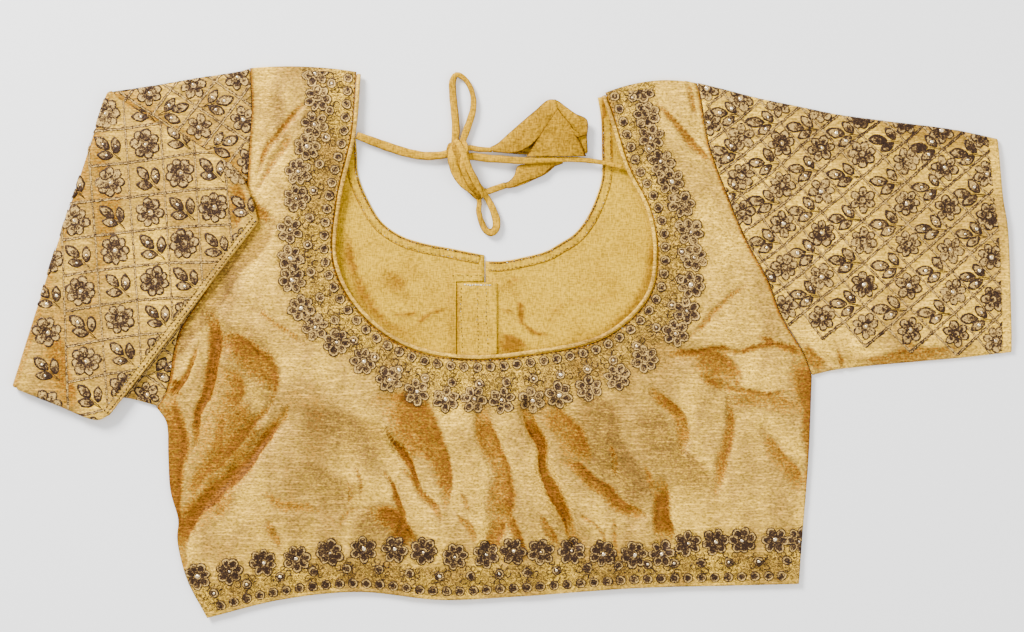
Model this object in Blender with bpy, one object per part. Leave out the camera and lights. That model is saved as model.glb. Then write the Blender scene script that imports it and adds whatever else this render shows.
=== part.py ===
"""Short fitted blouse with elbow sleeves, laid flat with its back up and its left sleeve turned back.

Sizes are in millimetres in the plan of the laid-out garment: +X to the right, +Y from hem to
shoulders, +Z up from the surface that it lies on. The scene is in metres.
"""

import bpy
import numpy as np

MM = 0.001
COLLECTION = "blouse"

# Cloth walls and the gaps between pieces
WALL_BACK = 1.4
WALL_FRONT = 1.4
WALL_SLEEVE = 1.2
WALL_TURNED = 2.6
WALL_STRIP = 1.1
SEAM_GAP = 0.6
LAYER_GAP = 0.35

# Underside of the back panel: at its edges, inside them, and the air under its middle
EDGE_UNDERSIDE = 1.8
BODY_UNDERSIDE = 3.4
EDGE_RISE = 18.0
PUFF_HEIGHT = 4.6
PUFF_EDGE = 55.0
PUFF_NECK = 60.0
NECK_PUFF = 0.25
COVER_EDGE = 22.0

# Rows of the back panel between its corners, their shares of the neck, and its columns
NECK_STOPS = (0.0, 0.26, 0.37, 0.68, 0.78, 1.0)
BACK_ROWS = (16, 10, 26, 9, 16)
BACK_COLUMNS = 18
SHOULDER_ROWS = 4
SHOULDER_ARCH = (2.6, 5.0)

# Front panels
FRONT_ROWS = (15, 11)
FRONT_NECK_ROWS = 11
FRONT_COLUMNS = 9
FRONT_INSET = 1.6

# Rolled edge round the back neck
PIPING_RADIUS = 1.5
PIPING_POINTS = 62
PIPING_GAP = 0.4
PIPING_LIFT = 1.5
PIPING_ENDS = (0.003, 0.997)

# Strips inside the front: facing of the neck, tape and flap of the opening
FACING_WIDTH = 6.5
FACING_POINTS = 26
FACING_INSET = 0.8
FACING_ENDS = (0.09, 0.985)
FACING_COLUMNS = 2
TAPE_LEFT = -45.0
TAPE_RIGHT = -40.2
FLAP_LEFT = -39.6
FLAP_RIGHT = -10.8
BAND_RIGHT = -20.2
BAND_TOP = 49.3
FLAP_TOP = 42.5
STRIP_BOTTOM = -162.7
STRIP_GAP = 0.8
BAND_CORNER = 3.0
FLAP_ROWS = 11
FLAP_COLUMNS = 3

# Right sleeve
SLEEVE_STEPS = 14
SLEEVE_ACROSS = 16
SLEEVE_HEIGHT = 4.4
SLEEVE_EDGE_HEIGHT = 3.0
SLEEVE_EDGE = 16.0
SLEEVE_EDGE_WALL = 1.9

# Left sleeve, turned back
TURNED_STEPS = 8
TURNED_ACROSS = 16
FOLD_STEPS = 5
TURNED_UNDERSIDE = 5.4

# Cords: steps round them, and length of a step for each radius
CORD_RESOLUTION = 2
PIPING_RESOLUTION = 1
CORD_STEP = 3.4

# Colours: base colour, roughness, metallic
GOLD_CLOTH = ((0.66, 0.44, 0.15), 0.42, 0.25)
LINING_CLOTH = ((0.64, 0.42, 0.14), 0.70, 0.0)
STRIP_CLOTH = ((0.60, 0.39, 0.13), 0.72, 0.0)
PIPING_CLOTH = ((0.45, 0.29, 0.11), 0.55, 0.1)
TIE_CLOTH = ((0.63, 0.40, 0.12), 0.50, 0.15)

# Plan outlines, columns: x, y
BACK_NECK = (
    (-108.7, 194.0), (-112.3, 149.4), (-123.1, 100.4), (-125.3, 58.0), (-110.2, 27.0), (-79.9, 1.8),
    (-39.6, -9.0), (10.8, -6.5), (67.0, 6.8), (95.8, 34.2), (101.5, 61.6), (97.2, 92.5), (81.4, 124.9),
    (69.1, 163.8), (64.1, 178.2),
)
LEFT_ARMHOLE = (
    (-188.6, 196.9), (-187.2, 171.0), (-188.6, 145.1), (-191.5, 109.1), (-201.6, 73.1), (-220.3, 37.1),
    (-239.0, 8.3), (-243.4, -7.6), (-248.4, -34.9), (-255.6, -47.9),
)
LEFT_SIDE = (
    (-255.6, -47.9), (-249.1, -58.0), (-247.7, -82.4), (-246.2, -106.9), (-240.5, -128.5),
    (-241.2, -142.9), (-234.0, -171.7), (-219.6, -199.1),
)
HEM = (
    (-219.6, -199.1), (-167.0, -186.1), (-110.9, -180.4), (-51.8, -186.1), (0.0, -184.0),
    (49.0, -180.4), (92.2, -177.5), (149.8, -176.0), (206.6, -174.6),
)
RIGHT_SIDE = ((206.6, -174.6), (209.5, -135.7), (213.1, -92.5), (214.6, -63.7), (216.0, -24.8))
RIGHT_ARMHOLE = (
    (216.0, -24.8), (209.5, -7.6), (193.7, 19.1), (183.6, 45.7), (169.2, 71.6), (155.2, 104.8),
    (142.2, 140.0), (135.4, 177.5), (133.2, 186.1),
)
FRONT_NECK_LEFT = (
    (-112.3, 192.6), (-114.5, 166.7), (-112.0, 137.9), (-110.9, 119.9), (-103.0, 100.4), (-93.6, 86.0),
    (-79.2, 76.0), (-63.4, 70.9), (-44.6, 67.3), (-19.9, 62.3),
)
FRONT_NECK_RIGHT = (
    (61.9, 176.0), (64.1, 161.6), (64.8, 133.6), (64.8, 118.4), (60.5, 103.3), (53.3, 88.2),
    (44.6, 77.4), (34.6, 70.9), (24.5, 65.2), (5.0, 60.1), (-7.2, 58.0), (-19.0, 58.0),
)
SLEEVE_UPPER = (
    (134.3, 186.5), (150.5, 182.5), (178.6, 175.3), (206.6, 169.6), (234.7, 163.8), (272.2, 158.8),
    (317.5, 153.0), (349.9, 146.2),
)
SLEEVE_LOWER = (
    (217.1, -24.1), (232.6, -20.5), (257.8, -17.6), (293.8, -14.4), (329.0, -11.2), (360.0, -7.6),
)
SLEEVE_CUFF = ((349.9, 146.2), (353.5, 104.8), (357.1, 81.0), (359.3, 20.5), (360.0, -7.6))
FOLD_LINE = ((-291.6, 179.6), (-307.4, 130.0), (-325.4, 76.0), (-342.7, 22.0), (-360.0, -32.8))
TURNED_CUFF = ((-182.2, 86.0), (-209.5, 50.8), (-236.2, 15.5), (-263.5, -19.8), (-289.4, -52.9))
TURNED_UPPER = (
    (-291.6, 179.6), (-257.0, 160.9), (-223.2, 140.0), (-196.6, 122.8), (-183.6, 92.5), (-182.2, 86.0),
)
TURNED_LOWER = ((-360.0, -32.8), (-329.0, -45.0), (-298.2, -56.5), (-289.4, -52.9))
LOWER_UPPER = ((-189.5, 196.6), (-195.8, 194.8), (-224.6, 190.4), (-253.4, 185.4), (-291.6, 179.6))
LOWER_LOWER = ((-256.8, -45.7), (-277.2, -40.7), (-318.2, -36.4), (-360.0, -32.8))

# Hollows of the back panel, columns: start, end, half width, height
BACK_FOLDS = (
    ((-215.3, 8.3), (-222.5, -49.3), 7.0, -3.0),
    ((-224.6, -49.3), (-233.3, -99.7), 8.0, -2.5),
    ((-164.2, -56.5), (-206.6, -98.3), 7.0, -3.0),
    ((-206.6, -98.3), (-236.9, -127.1), 7.0, -3.0),
    ((-91.4, -42.1), (-80.6, -85.3), 9.0, -3.0),
    ((-80.6, -81.7), (-59.0, -114.1), 7.0, -2.5),
    ((-17.3, -54.4), (-10.1, -146.5), 9.0, -3.0),
    ((10.1, -49.3), (23.8, -99.0), 8.0, -3.8),
    ((23.8, -99.0), (46.8, -142.9), 8.0, -3.8),
    ((31.7, -49.3), (70.6, -98.3), 8.0, -3.0),
    ((70.6, -98.3), (89.3, -124.9), 7.0, -2.5),
    ((106.6, -37.8), (123.8, -70.9), 9.0, -2.5),
    ((151.9, -60.1), (146.9, -99.7), 9.0, -2.0),
    ((108.0, -111.2), (109.4, -146.5), 8.0, -2.5),
    ((117.4, -11.2), (200.2, -6.1), 8.0, -2.5),
    ((-188.6, 24.1), (-148.3, -1.8), 6.0, -1.5),
    ((-175.7, -115.6), (-86.4, -118.4), 9.0, -1.5),
)

# Ties and loops, columns: x, y, height of the centre line, radius
TIE_LEFT = (
    (-111.7, 148.4, 5.0, 2.5), (-106.6, 146.5, 4.0, 2.9), (-99.4, 143.9, 3.6, 3.1),
    (-87.8, 139.8, 3.4, 3.2), (-75.8, 136.1, 3.4, 3.2), (-63.9, 133.8, 3.4, 3.1),
    (-54.7, 133.9, 3.7, 2.9), (-47.8, 134.9, 4.0, 2.7),
)
TIE_RIGHT = (
    (-28.9, 133.3, 3.9, 2.6), (-23.8, 132.7, 4.0, 2.8), (-15.8, 131.7, 4.3, 2.8),
    (-8.6, 131.3, 5.0, 2.7), (5.8, 130.2, 6.0, 2.5), (20.2, 130.4, 6.0, 2.3), (34.6, 131.0, 5.6, 2.0),
    (49.0, 130.8, 5.4, 1.8), (63.4, 129.1, 5.2, 1.7), (72.0, 127.4, 5.2, 1.7), (79.6, 125.6, 5.2, 1.7),
)
LOOP_UPPER = (
    (-41.2, 145.3, 3.4, 2.5), (-40.6, 150.1, 3.2, 2.8), (-40.6, 156.6, 3.1, 2.8),
    (-41.5, 166.7, 3.1, 2.8), (-42.7, 178.7, 3.0, 2.7), (-42.6, 188.3, 2.9, 2.4),
    (-40.0, 192.2, 2.9, 2.0), (-35.3, 190.4, 2.9, 1.8), (-30.6, 184.3, 2.9, 1.8),
    (-27.9, 175.3, 3.0, 2.0), (-28.2, 166.7, 3.1, 2.4), (-30.2, 159.5, 3.1, 2.6),
    (-32.7, 152.3, 3.2, 2.6), (-34.9, 146.0, 3.4, 2.4),
)
LOOP_LOWER = (
    (-23.6, 100.7, 3.0, 1.8), (-24.0, 94.0, 3.0, 2.0), (-21.7, 85.3, 3.0, 2.2),
    (-18.6, 79.9, 3.0, 2.5), (-14.7, 78.5, 3.0, 2.7), (-11.7, 81.4, 3.0, 2.8), (-11.2, 86.8, 3.0, 2.8),
    (-13.0, 93.2, 3.0, 2.6), (-15.3, 98.6, 3.0, 2.4), (-17.7, 103.0, 3.0, 2.2),
)
TAIL_UPPER = ((-31.1, 139.4, 4.2, 2.0), (-23.8, 138.5, 3.6, 1.9), (-14.6, 138.2, 2.4, 1.7))
TAIL_LOWER = ((-18.9, 108.1, 3.4, 2.2), (-12.2, 110.1, 3.0, 2.4), (-4.8, 112.7, 2.7, 2.2))

# Knot of the bow, columns: centre, half width across, height
BOW_KNOT = (
    ((-41.0, 144.4), 4.8, 6.6),
    ((-40.3, 140.4), 7.2, 10.5),
    ((-39.0, 135.0), 8.2, 12.4),
    ((-37.1, 128.5), 8.2, 12.2),
    ((-34.2, 121.7), 7.6, 11.2),
    ((-30.6, 115.2), 6.6, 10.0),
    ((-26.6, 109.8), 5.6, 9.0),
    ((-23.4, 105.8), 4.6, 7.6),
    ((-21.6, 103.0), 3.2, 5.6),
)

# Tassels, columns: two edge points of each section, thickness
TASSEL_UPPER = (
    ((-14.1, 140.0), (-14.0, 136.7), 4.0),
    ((-8.6, 144.4), (-6.5, 136.0), 5.0),
    ((0.0, 151.6), (2.9, 134.9), 6.5),
    ((10.1, 159.5), (15.1, 134.4), 8.0),
    ((20.9, 168.1), (26.6, 135.0), 9.5),
    ((28.8, 173.5), (38.9, 136.1), 10.0),
    ((34.6, 171.7), (47.5, 135.7), 9.0),
    ((41.8, 167.4), (53.3, 135.0), 7.5),
    ((53.3, 158.8), (54.7, 136.4), 6.0),
)
TASSEL_LOWER = (
    ((-4.0, 114.8), (-4.0, 111.6), 4.0),
    ((-0.7, 117.0), (0.7, 110.9), 4.2),
    ((3.6, 122.0), (7.9, 113.0), 4.0),
    ((7.2, 126.7), (16.6, 116.8), 3.0),
    ((12.2, 128.9), (24.5, 120.6), 2.6),
    ((20.2, 130.0), (31.7, 126.7), 2.4),
)
ROUND_SIDES = 10


def smooth_line(points, steps):
    """Points at even lengths along a smooth curve through the given ones."""
    given = np.array(points, float)
    before = 2 * given[0] - given[1]
    after = 2 * given[-1] - given[-2]
    p = np.vstack([before, given, after])
    knots = np.concatenate([[0.0], np.cumsum(np.sqrt(np.linalg.norm(np.diff(p, axis=0), axis=1)))])
    dense = []
    for i in range(1, len(p) - 2):
        t0, t1, t2, t3 = knots[i - 1:i + 3]
        t = np.linspace(t1, t2, 24, endpoint=False)[:, None]
        a1 = (t1 - t) / (t1 - t0) * p[i - 1] + (t - t0) / (t1 - t0) * p[i]
        a2 = (t2 - t) / (t2 - t1) * p[i] + (t - t1) / (t2 - t1) * p[i + 1]
        a3 = (t3 - t) / (t3 - t2) * p[i + 1] + (t - t2) / (t3 - t2) * p[i + 2]
        b1 = (t2 - t) / (t2 - t0) * a1 + (t - t0) / (t2 - t0) * a2
        b2 = (t3 - t) / (t3 - t1) * a2 + (t - t1) / (t3 - t1) * a3
        dense.append((t2 - t) / (t2 - t1) * b1 + (t - t1) / (t2 - t1) * b2)
    dense = np.vstack(dense + [given[-1:]])
    return resample(dense, np.linspace(0.0, 1.0, steps + 1))


def resample(line, shares):
    """Points of a line at the given shares of its length."""
    line = np.asarray(line, float)
    run = np.concatenate([[0.0], np.cumsum(np.linalg.norm(np.diff(line, axis=0), axis=1))])
    at = np.asarray(shares) * run[-1]
    return np.column_stack([np.interp(at, run, line[:, k]) for k in range(line.shape[1])])


def ease(value):
    """Smooth step from 0 to 1."""
    v = np.clip(value, 0.0, 1.0)
    return v * v * (3 - 2 * v)


def line_distance(xy, line):
    """Distance of each point from an open line."""
    best = np.full(xy.shape[:-1], 1e9)
    for a, b in zip(line[:-1], line[1:]):
        span = b - a
        t = np.clip(((xy - a) @ span) / max(span @ span, 1e-9), 0.0, 1.0)
        best = np.minimum(best, np.linalg.norm(xy - (a + t[..., None] * span), axis=-1))
    return best


def inside(xy, loop):
    """Whether each point lies inside a closed outline."""
    x, y = xy[..., 0], xy[..., 1]
    hit = np.zeros(x.shape, bool)
    for a, b in zip(loop, np.roll(loop, -1, axis=0)):
        crosses = (a[1] > y) != (b[1] > y)
        rise = b[1] - a[1] if b[1] != a[1] else 1e-9
        hit ^= crosses & (x < (b[0] - a[0]) * (y - a[1]) / rise + a[0])
    return hit


NECK_LINE = smooth_line(BACK_NECK, 400)
OUTER_LINE = np.vstack([
    smooth_line(LEFT_ARMHOLE, 60), smooth_line(LEFT_SIDE, 40), smooth_line(HEM, 60),
    smooth_line(RIGHT_SIDE, 40), smooth_line(RIGHT_ARMHOLE, 60),
])
COVER_LOOP = np.vstack([
    smooth_line(TURNED_UPPER, 20), smooth_line(TURNED_CUFF, 10), smooth_line(TURNED_LOWER, 10)[::-1],
    smooth_line(FOLD_LINE, 10)[::-1],
])


def back_underside(xy):
    """Height of the back panel's underside above the surface."""
    shoulders = np.minimum(
        line_distance(xy, np.array([OUTER_LINE[0], NECK_LINE[0]])),
        line_distance(xy, np.array([OUTER_LINE[-1], NECK_LINE[-1]])),
    )
    edge = np.minimum(line_distance(xy, OUTER_LINE), shoulders)
    neck = line_distance(xy, NECK_LINE)
    cover = np.where(inside(xy, COVER_LOOP), 0.0, line_distance(xy, COVER_LOOP))
    free = ease(cover / COVER_EDGE)
    base = EDGE_UNDERSIDE + (BODY_UNDERSIDE - EDGE_UNDERSIDE) * ease(edge / EDGE_RISE)
    puff = PUFF_HEIGHT * ease(edge / PUFF_EDGE) * free
    puff *= NECK_PUFF + (1.0 - NECK_PUFF) * ease(neck / PUFF_NECK)
    low = np.zeros(puff.shape)
    for start, end, half_width, height in BACK_FOLDS:
        d = line_distance(xy, np.array([start, end], float))
        low += height * np.exp(-(d / half_width) ** 2) * free
    return base + np.maximum(puff + low, 0.0)


def material_of(name, look):
    colour, roughness, metallic = look
    material = bpy.data.materials.new(name)
    material.use_nodes = True
    shader = material.node_tree.nodes["Principled BSDF"]
    shader.inputs["Base Color"].default_value = (*colour, 1.0)
    shader.inputs["Roughness"].default_value = roughness
    shader.inputs["Metallic"].default_value = metallic
    material.diffuse_color = (*colour, 1.0)
    return material


def add_object(name, data, look):
    data.materials.append(material_of(name + "_cloth", look))
    made = bpy.data.objects.new(name, data)
    bpy.data.collections[COLLECTION].objects.link(made)
    return made


def add_mesh(name, points, faces, look):
    mesh = bpy.data.meshes.new(name)
    mesh.from_pydata([tuple(p * MM) for p in points], [], faces)
    mesh.validate()
    return add_object(name, mesh, look)


def add_wall(name, upper, lower, look):
    """A closed wall between an upper and a lower grid of points."""
    rows, columns = upper.shape[:2]
    points = np.vstack([upper.reshape(-1, 3), lower.reshape(-1, 3)])
    under = rows * columns

    def at(i, j):
        return i * columns + j

    faces = []
    for i in range(rows - 1):
        for j in range(columns - 1):
            top = (at(i, j), at(i + 1, j), at(i + 1, j + 1), at(i, j + 1))
            faces.append(top)
            faces.append(tuple(under + k for k in reversed(top)))
    rim = [at(0, j) for j in range(columns)]
    rim += [at(i, columns - 1) for i in range(1, rows)]
    rim += [at(rows - 1, j) for j in range(columns - 2, -1, -1)]
    rim += [at(i, 0) for i in range(rows - 2, 0, -1)]
    for a, b in zip(rim, rim[1:] + rim[:1]):
        faces.append((a, b, under + b, under + a))
    return add_mesh(name, points, outward(points, faces), look)


def outward(points, faces):
    """The same faces, turned round together if they enclose a negative volume."""
    total = 0.0
    for face in faces:
        a = points[face[0]]
        for k in range(1, len(face) - 1):
            total += a @ np.cross(points[face[k]], points[face[k + 1]])
    return faces if total > 0 else [tuple(reversed(f)) for f in faces]


def add_rings(name, rings, look):
    """A closed solid through rings of points, with a flat cap at each end."""
    count, sides = rings.shape[:2]
    points = rings.reshape(-1, 3)
    faces = []
    for i in range(count - 1):
        for j in range(sides):
            k = (j + 1) % sides
            faces.append((i * sides + j, i * sides + k, (i + 1) * sides + k, (i + 1) * sides + j))
    faces.append(tuple(reversed(range(sides))))
    faces.append(tuple((count - 1) * sides + j for j in range(sides)))
    return add_mesh(name, points, outward(points, faces), look)


def add_tube_wall(name, outer, inner, look):
    """A tube wall, open at both ends, between outer and inner rings."""
    count, sides = outer.shape[:2]
    points = np.vstack([outer.reshape(-1, 3), inner.reshape(-1, 3)])
    under = count * sides
    faces = []
    for j in range(sides):
        k = (j + 1) % sides
        for i in range(count - 1):
            side = (i * sides + j, i * sides + k, (i + 1) * sides + k, (i + 1) * sides + j)
            faces.append(side)
            faces.append(tuple(under + n for n in reversed(side)))
        last = (count - 1) * sides
        faces.append((j, under + j, under + k, k))
        faces.append((last + j, last + k, under + last + k, under + last + j))
    return add_mesh(name, points, outward(points, faces), look)


def between(first, second, columns):
    """Grid of plan points on straight lines from each point of one line to its match on the other."""
    share = np.linspace(0.0, 1.0, columns + 1)[None, :, None]
    return first[:, None, :] * (1 - share) + second[:, None, :] * share


def lifted(xy, z):
    return np.concatenate([xy, np.broadcast_to(z, xy.shape[:-1])[..., None]], axis=-1)


def back_grid():
    """Plan points of the back panel: rows go along the neck, columns from neck to outer edge."""
    shares = [NECK_STOPS[0]]
    outer = []
    lines = (LEFT_ARMHOLE, LEFT_SIDE, HEM, RIGHT_SIDE, RIGHT_ARMHOLE)
    for k, (line, rows) in enumerate(zip(lines, BACK_ROWS)):
        shares += list(np.linspace(NECK_STOPS[k], NECK_STOPS[k + 1], rows + 1)[1:])
        outer.append(smooth_line(line, rows)[(1 if k else 0):])
    neck = resample(piping_side(NECK_LINE), shares)
    xy = between(neck, np.vstack(outer), BACK_COLUMNS)
    arch = 4.0 * np.linspace(0.0, 1.0, BACK_COLUMNS + 1) * np.linspace(1.0, 0.0, BACK_COLUMNS + 1)
    for row in range(SHOULDER_ROWS):
        fade = 1.0 - row / SHOULDER_ROWS
        xy[row, :, 1] += SHOULDER_ARCH[0] * arch * fade
        xy[-1 - row, :, 1] += SHOULDER_ARCH[1] * arch * fade
    return xy


def piping_side(line):
    """The neck line moved into the panel by the width of the rolled edge."""
    return moved(line, -(2 * PIPING_RADIUS + PIPING_GAP))


def moved(line, distance):
    """A plan line moved sideways, to the left of its direction for a positive distance."""
    along = np.gradient(line[:, :2], axis=0)
    along /= np.linalg.norm(along, axis=1)[:, None]
    side = np.column_stack([-along[:, 1], along[:, 0]])
    return line[:, :2] + side * distance


def make_back():
    xy = back_grid()
    z = back_underside(xy)
    add_wall("back_panel", lifted(xy, z + WALL_BACK), lifted(xy, z), GOLD_CLOTH)


def make_piping():
    shares = np.linspace(*PIPING_ENDS, PIPING_POINTS)
    line = resample(moved(NECK_LINE, -PIPING_RADIUS), shares)
    panel = back_underside(resample(piping_side(NECK_LINE), shares))
    route = np.column_stack([line, panel + PIPING_LIFT, np.full(len(line), PIPING_RADIUS)])
    add_cord("neck_piping", route, PIPING_CLOTH, PIPING_RESOLUTION)


def add_cord(name, route, look, resolution):
    """A round cord through points, columns x, y, z and radius."""
    widest = route[:, 3].max()
    curve = bpy.data.curves.new(name, "CURVE")
    curve.dimensions = "3D"
    curve.bevel_depth = widest * MM
    curve.bevel_resolution = resolution
    curve.use_fill_caps = True
    spline = curve.splines.new("POLY")
    spline.points.add(len(route) - 1)
    for point, row in zip(spline.points, route):
        point.co = (*(row[:3] * MM), 1.0)
        point.radius = row[3] / widest
    return add_object(name, curve, look)


def cord_route(rows):
    length = np.linalg.norm(np.diff(np.array(rows)[:, :3], axis=0), axis=1).sum()
    step = CORD_STEP * np.mean([row[3] for row in rows])
    return smooth_line(rows, max(4, int(round(length / step))))


def make_fronts():
    """Each front: rows from shoulder to hem, columns from neck and centre edge to side."""
    rows, side = FRONT_ROWS
    hem = moved(smooth_line(HEM, 200), FRONT_INSET)
    for name, neck, armhole, flank, inset in (
        ("front_panel_left", FRONT_NECK_LEFT, LEFT_ARMHOLE, LEFT_SIDE, FRONT_INSET),
        ("front_panel_right", FRONT_NECK_RIGHT, RIGHT_ARMHOLE[::-1], RIGHT_SIDE[::-1], -FRONT_INSET),
    ):
        edge_x = neck[-1][0]
        foot = np.array([edge_x, np.interp(edge_x, hem[:, 0], hem[:, 1])])
        upper = smooth_line(neck, FRONT_NECK_ROWS)
        centre = np.array([upper[-1], foot])
        centre = resample(centre, np.linspace(0.0, 1.0, rows + side - FRONT_NECK_ROWS + 1))[1:]
        inner = np.vstack([upper, centre])
        outer = np.vstack([
            moved(smooth_line(armhole, rows), inset), moved(smooth_line(flank, side), inset)[1:],
        ])
        outer[0] = armhole[0] + np.array([inset, -FRONT_INSET])
        outer[-1] = flank[-1] + np.array([inset, FRONT_INSET])
        shoulder = resample(np.array([inner[0], outer[0]]), np.linspace(0.0, 1.0, FRONT_COLUMNS + 1))
        low = np.abs(hem[:, 0] - edge_x) < abs(outer[-1][0] - edge_x)
        beyond = (hem[:, 0] - edge_x) * (outer[-1][0] - edge_x) > 0
        part = hem[low & beyond]
        part = part[np.argsort(np.abs(part[:, 0] - edge_x))]
        bottom = resample(np.vstack([foot, part, outer[-1]]), np.linspace(0.0, 1.0, FRONT_COLUMNS + 1))
        xy = patch(inner, outer, shoulder, bottom)
        add_wall(name, lifted(xy, WALL_FRONT), lifted(xy, 0.0), LINING_CLOTH)


def make_strips():
    """Neck facings, and tape and flap of the centre opening, all on top of the fronts."""
    low = WALL_FRONT + LAYER_GAP
    high = low + WALL_STRIP
    for name, neck, side in (
        ("front_neck_facing_left", FRONT_NECK_LEFT, -1.0),
        ("front_neck_facing_right", FRONT_NECK_RIGHT, 1.0),
    ):
        line = resample(smooth_line(neck, 200), np.linspace(*FACING_ENDS, FACING_POINTS + 1))
        near = moved(line, side * FACING_INSET)
        far = moved(line, side * (FACING_INSET + FACING_WIDTH))
        xy = between(near, far, FACING_COLUMNS)
        add_wall(name, lifted(xy, high), lifted(xy, low), STRIP_CLOTH)
    left = np.array(((FLAP_LEFT, FLAP_TOP), (FLAP_LEFT, STRIP_BOTTOM)))
    right = np.array(((FLAP_RIGHT, FLAP_TOP), (FLAP_RIGHT, STRIP_BOTTOM)))
    shares = np.linspace(0.0, 1.0, FLAP_ROWS + 1)
    xy = between(resample(left, shares), resample(right, shares), FLAP_COLUMNS)
    add_wall("placket_flap", lifted(xy, high), lifted(xy, low), STRIP_CLOTH)
    band_foot = FLAP_TOP + STRIP_GAP
    inner = np.array((
        (BAND_RIGHT, BAND_TOP), (BAND_RIGHT, band_foot),
        (TAPE_RIGHT, band_foot), (TAPE_RIGHT, STRIP_BOTTOM),
    ))
    outer = np.array((
        (TAPE_LEFT + 2 * BAND_CORNER, BAND_TOP), (TAPE_LEFT + BAND_CORNER, BAND_TOP),
        (TAPE_LEFT, BAND_TOP - BAND_CORNER), (TAPE_LEFT, STRIP_BOTTOM),
    ))
    xy = between(inner, outer, 1)
    add_wall("placket_tape", lifted(xy, high), lifted(xy, low), STRIP_CLOTH)


def patch(upper, lower, start, end):
    """Plan points of a four-sided panel: rows run along upper and lower, columns from upper to lower."""
    s = np.linspace(0.0, 1.0, len(upper))[:, None, None]
    t = np.linspace(0.0, 1.0, len(start))[None, :, None]
    a, b, c, d = upper[:, None, :], lower[:, None, :], start[None, :, :], end[None, :, :]
    corners = (1 - s) * ((1 - t) * a[:1] + t * b[:1]) + s * ((1 - t) * a[-1:] + t * b[-1:])
    return (1 - t) * a + t * b + (1 - s) * c + s * d - corners


def make_right_sleeve():
    armhole = moved(smooth_line(RIGHT_ARMHOLE, SLEEVE_ACROSS), -SEAM_GAP)[::-1]
    armhole[0] = SLEEVE_UPPER[0]
    armhole[-1] = SLEEVE_LOWER[0]
    xy = patch(
        smooth_line(SLEEVE_UPPER, SLEEVE_STEPS), smooth_line(SLEEVE_LOWER, SLEEVE_STEPS),
        armhole, smooth_line(SLEEVE_CUFF, SLEEVE_ACROSS),
    )
    edge = np.minimum(line_distance(xy, xy[:, 0]), line_distance(xy, xy[:, -1]))
    full = SLEEVE_EDGE_HEIGHT + (SLEEVE_HEIGHT - SLEEVE_EDGE_HEIGHT) * ease(edge / SLEEVE_EDGE)
    outer, inner = [], []
    for plan, height in zip(xy, full):
        outer.append(flat_ring(plan, 0.0, height, 0.0))
        inner.append(flat_ring(plan, WALL_SLEEVE, height - WALL_SLEEVE, SLEEVE_EDGE_WALL))
    add_tube_wall("sleeve_right", np.array(outer), np.array(inner), GOLD_CLOTH)


def flat_ring(plan, low, high, inset):
    """Ring over a line of plan points: forward along its top and back along its underside."""
    first = plan[0] + (plan[1] - plan[0]) / np.linalg.norm(plan[1] - plan[0]) * inset
    last = plan[-1] + (plan[-2] - plan[-1]) / np.linalg.norm(plan[-2] - plan[-1]) * inset
    height = np.broadcast_to(high, len(plan))
    top = lifted(plan[1:-1], height[1:-1])
    base = lifted(plan[1:-1], low)
    ends = [lifted(p, (low + h) / 2)[None] for p, h in ((first, height[0]), (last, height[-1]))]
    return np.vstack([ends[0], top, ends[1], base[::-1]])


def make_left_sleeve():
    """One folded slab, which the hidden layers share: rows go from armhole to fold and back to cuff."""
    armhole = moved(smooth_line(LEFT_ARMHOLE, TURNED_ACROSS), -SEAM_GAP)
    armhole[0] = LOWER_UPPER[0]
    armhole[-1] = LOWER_LOWER[0]
    below = patch(
        smooth_line(LOWER_UPPER, TURNED_STEPS), smooth_line(LOWER_LOWER, TURNED_STEPS),
        armhole, smooth_line(FOLD_LINE, TURNED_ACROSS),
    )
    above = patch(
        smooth_line(TURNED_UPPER, TURNED_STEPS), smooth_line(TURNED_LOWER, TURNED_STEPS),
        smooth_line(FOLD_LINE, TURNED_ACROSS), smooth_line(TURNED_CUFF, TURNED_ACROSS),
    )
    reach = (TURNED_UNDERSIDE + WALL_TURNED) / 2
    gap = TURNED_UNDERSIDE - WALL_TURNED
    fold = below[-1]
    inward = below[-2] - fold
    inward /= np.linalg.norm(inward, axis=1)[:, None]
    outer, inner = [], []
    for row in below[:-1]:
        outer.append(lifted(row, 0.0))
        inner.append(lifted(row, WALL_TURNED))
    centre = fold + inward * reach
    for k in range(1, FOLD_STEPS + 1):
        angle = np.pi * k / (FOLD_STEPS + 1)
        out = centre - inward * reach * np.sin(angle)
        ins = centre - inward * gap / 2 * np.sin(angle)
        outer.append(lifted(out, reach - reach * np.cos(angle)))
        inner.append(lifted(ins, reach - gap / 2 * np.cos(angle)))
    for row in above[1:]:
        outer.append(lifted(row, TURNED_UNDERSIDE + WALL_TURNED))
        inner.append(lifted(row, TURNED_UNDERSIDE))
    add_wall("sleeve_left", np.array(outer), np.array(inner), GOLD_CLOTH)


def make_cords():
    for name, rows in (
        ("tie_left", TIE_LEFT),
        ("tie_right", TIE_RIGHT),
        ("bow_loop_upper", LOOP_UPPER),
        ("bow_loop_lower", LOOP_LOWER),
        ("tie_tail_upper", TAIL_UPPER),
        ("tie_tail_lower", TAIL_LOWER),
    ):
        add_cord(name, cord_route(rows), TIE_CLOTH, CORD_RESOLUTION)


def make_knot():
    plan = np.array([row[0] for row in BOW_KNOT])
    along = np.gradient(plan, axis=0)
    along /= np.linalg.norm(along, axis=1)[:, None]
    side = np.column_stack([-along[:, 1], along[:, 0]])
    turn = np.linspace(0, 2 * np.pi, ROUND_SIDES, endpoint=False)
    rings = []
    for centre, across, (point, half, height) in zip(plan, side, BOW_KNOT):
        xy = centre + np.cos(turn)[:, None] * across * half
        rings.append(lifted(xy, (1 + np.sin(turn)) * height / 2))
    add_rings("bow_knot", np.array(rings), TIE_CLOTH)


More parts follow.
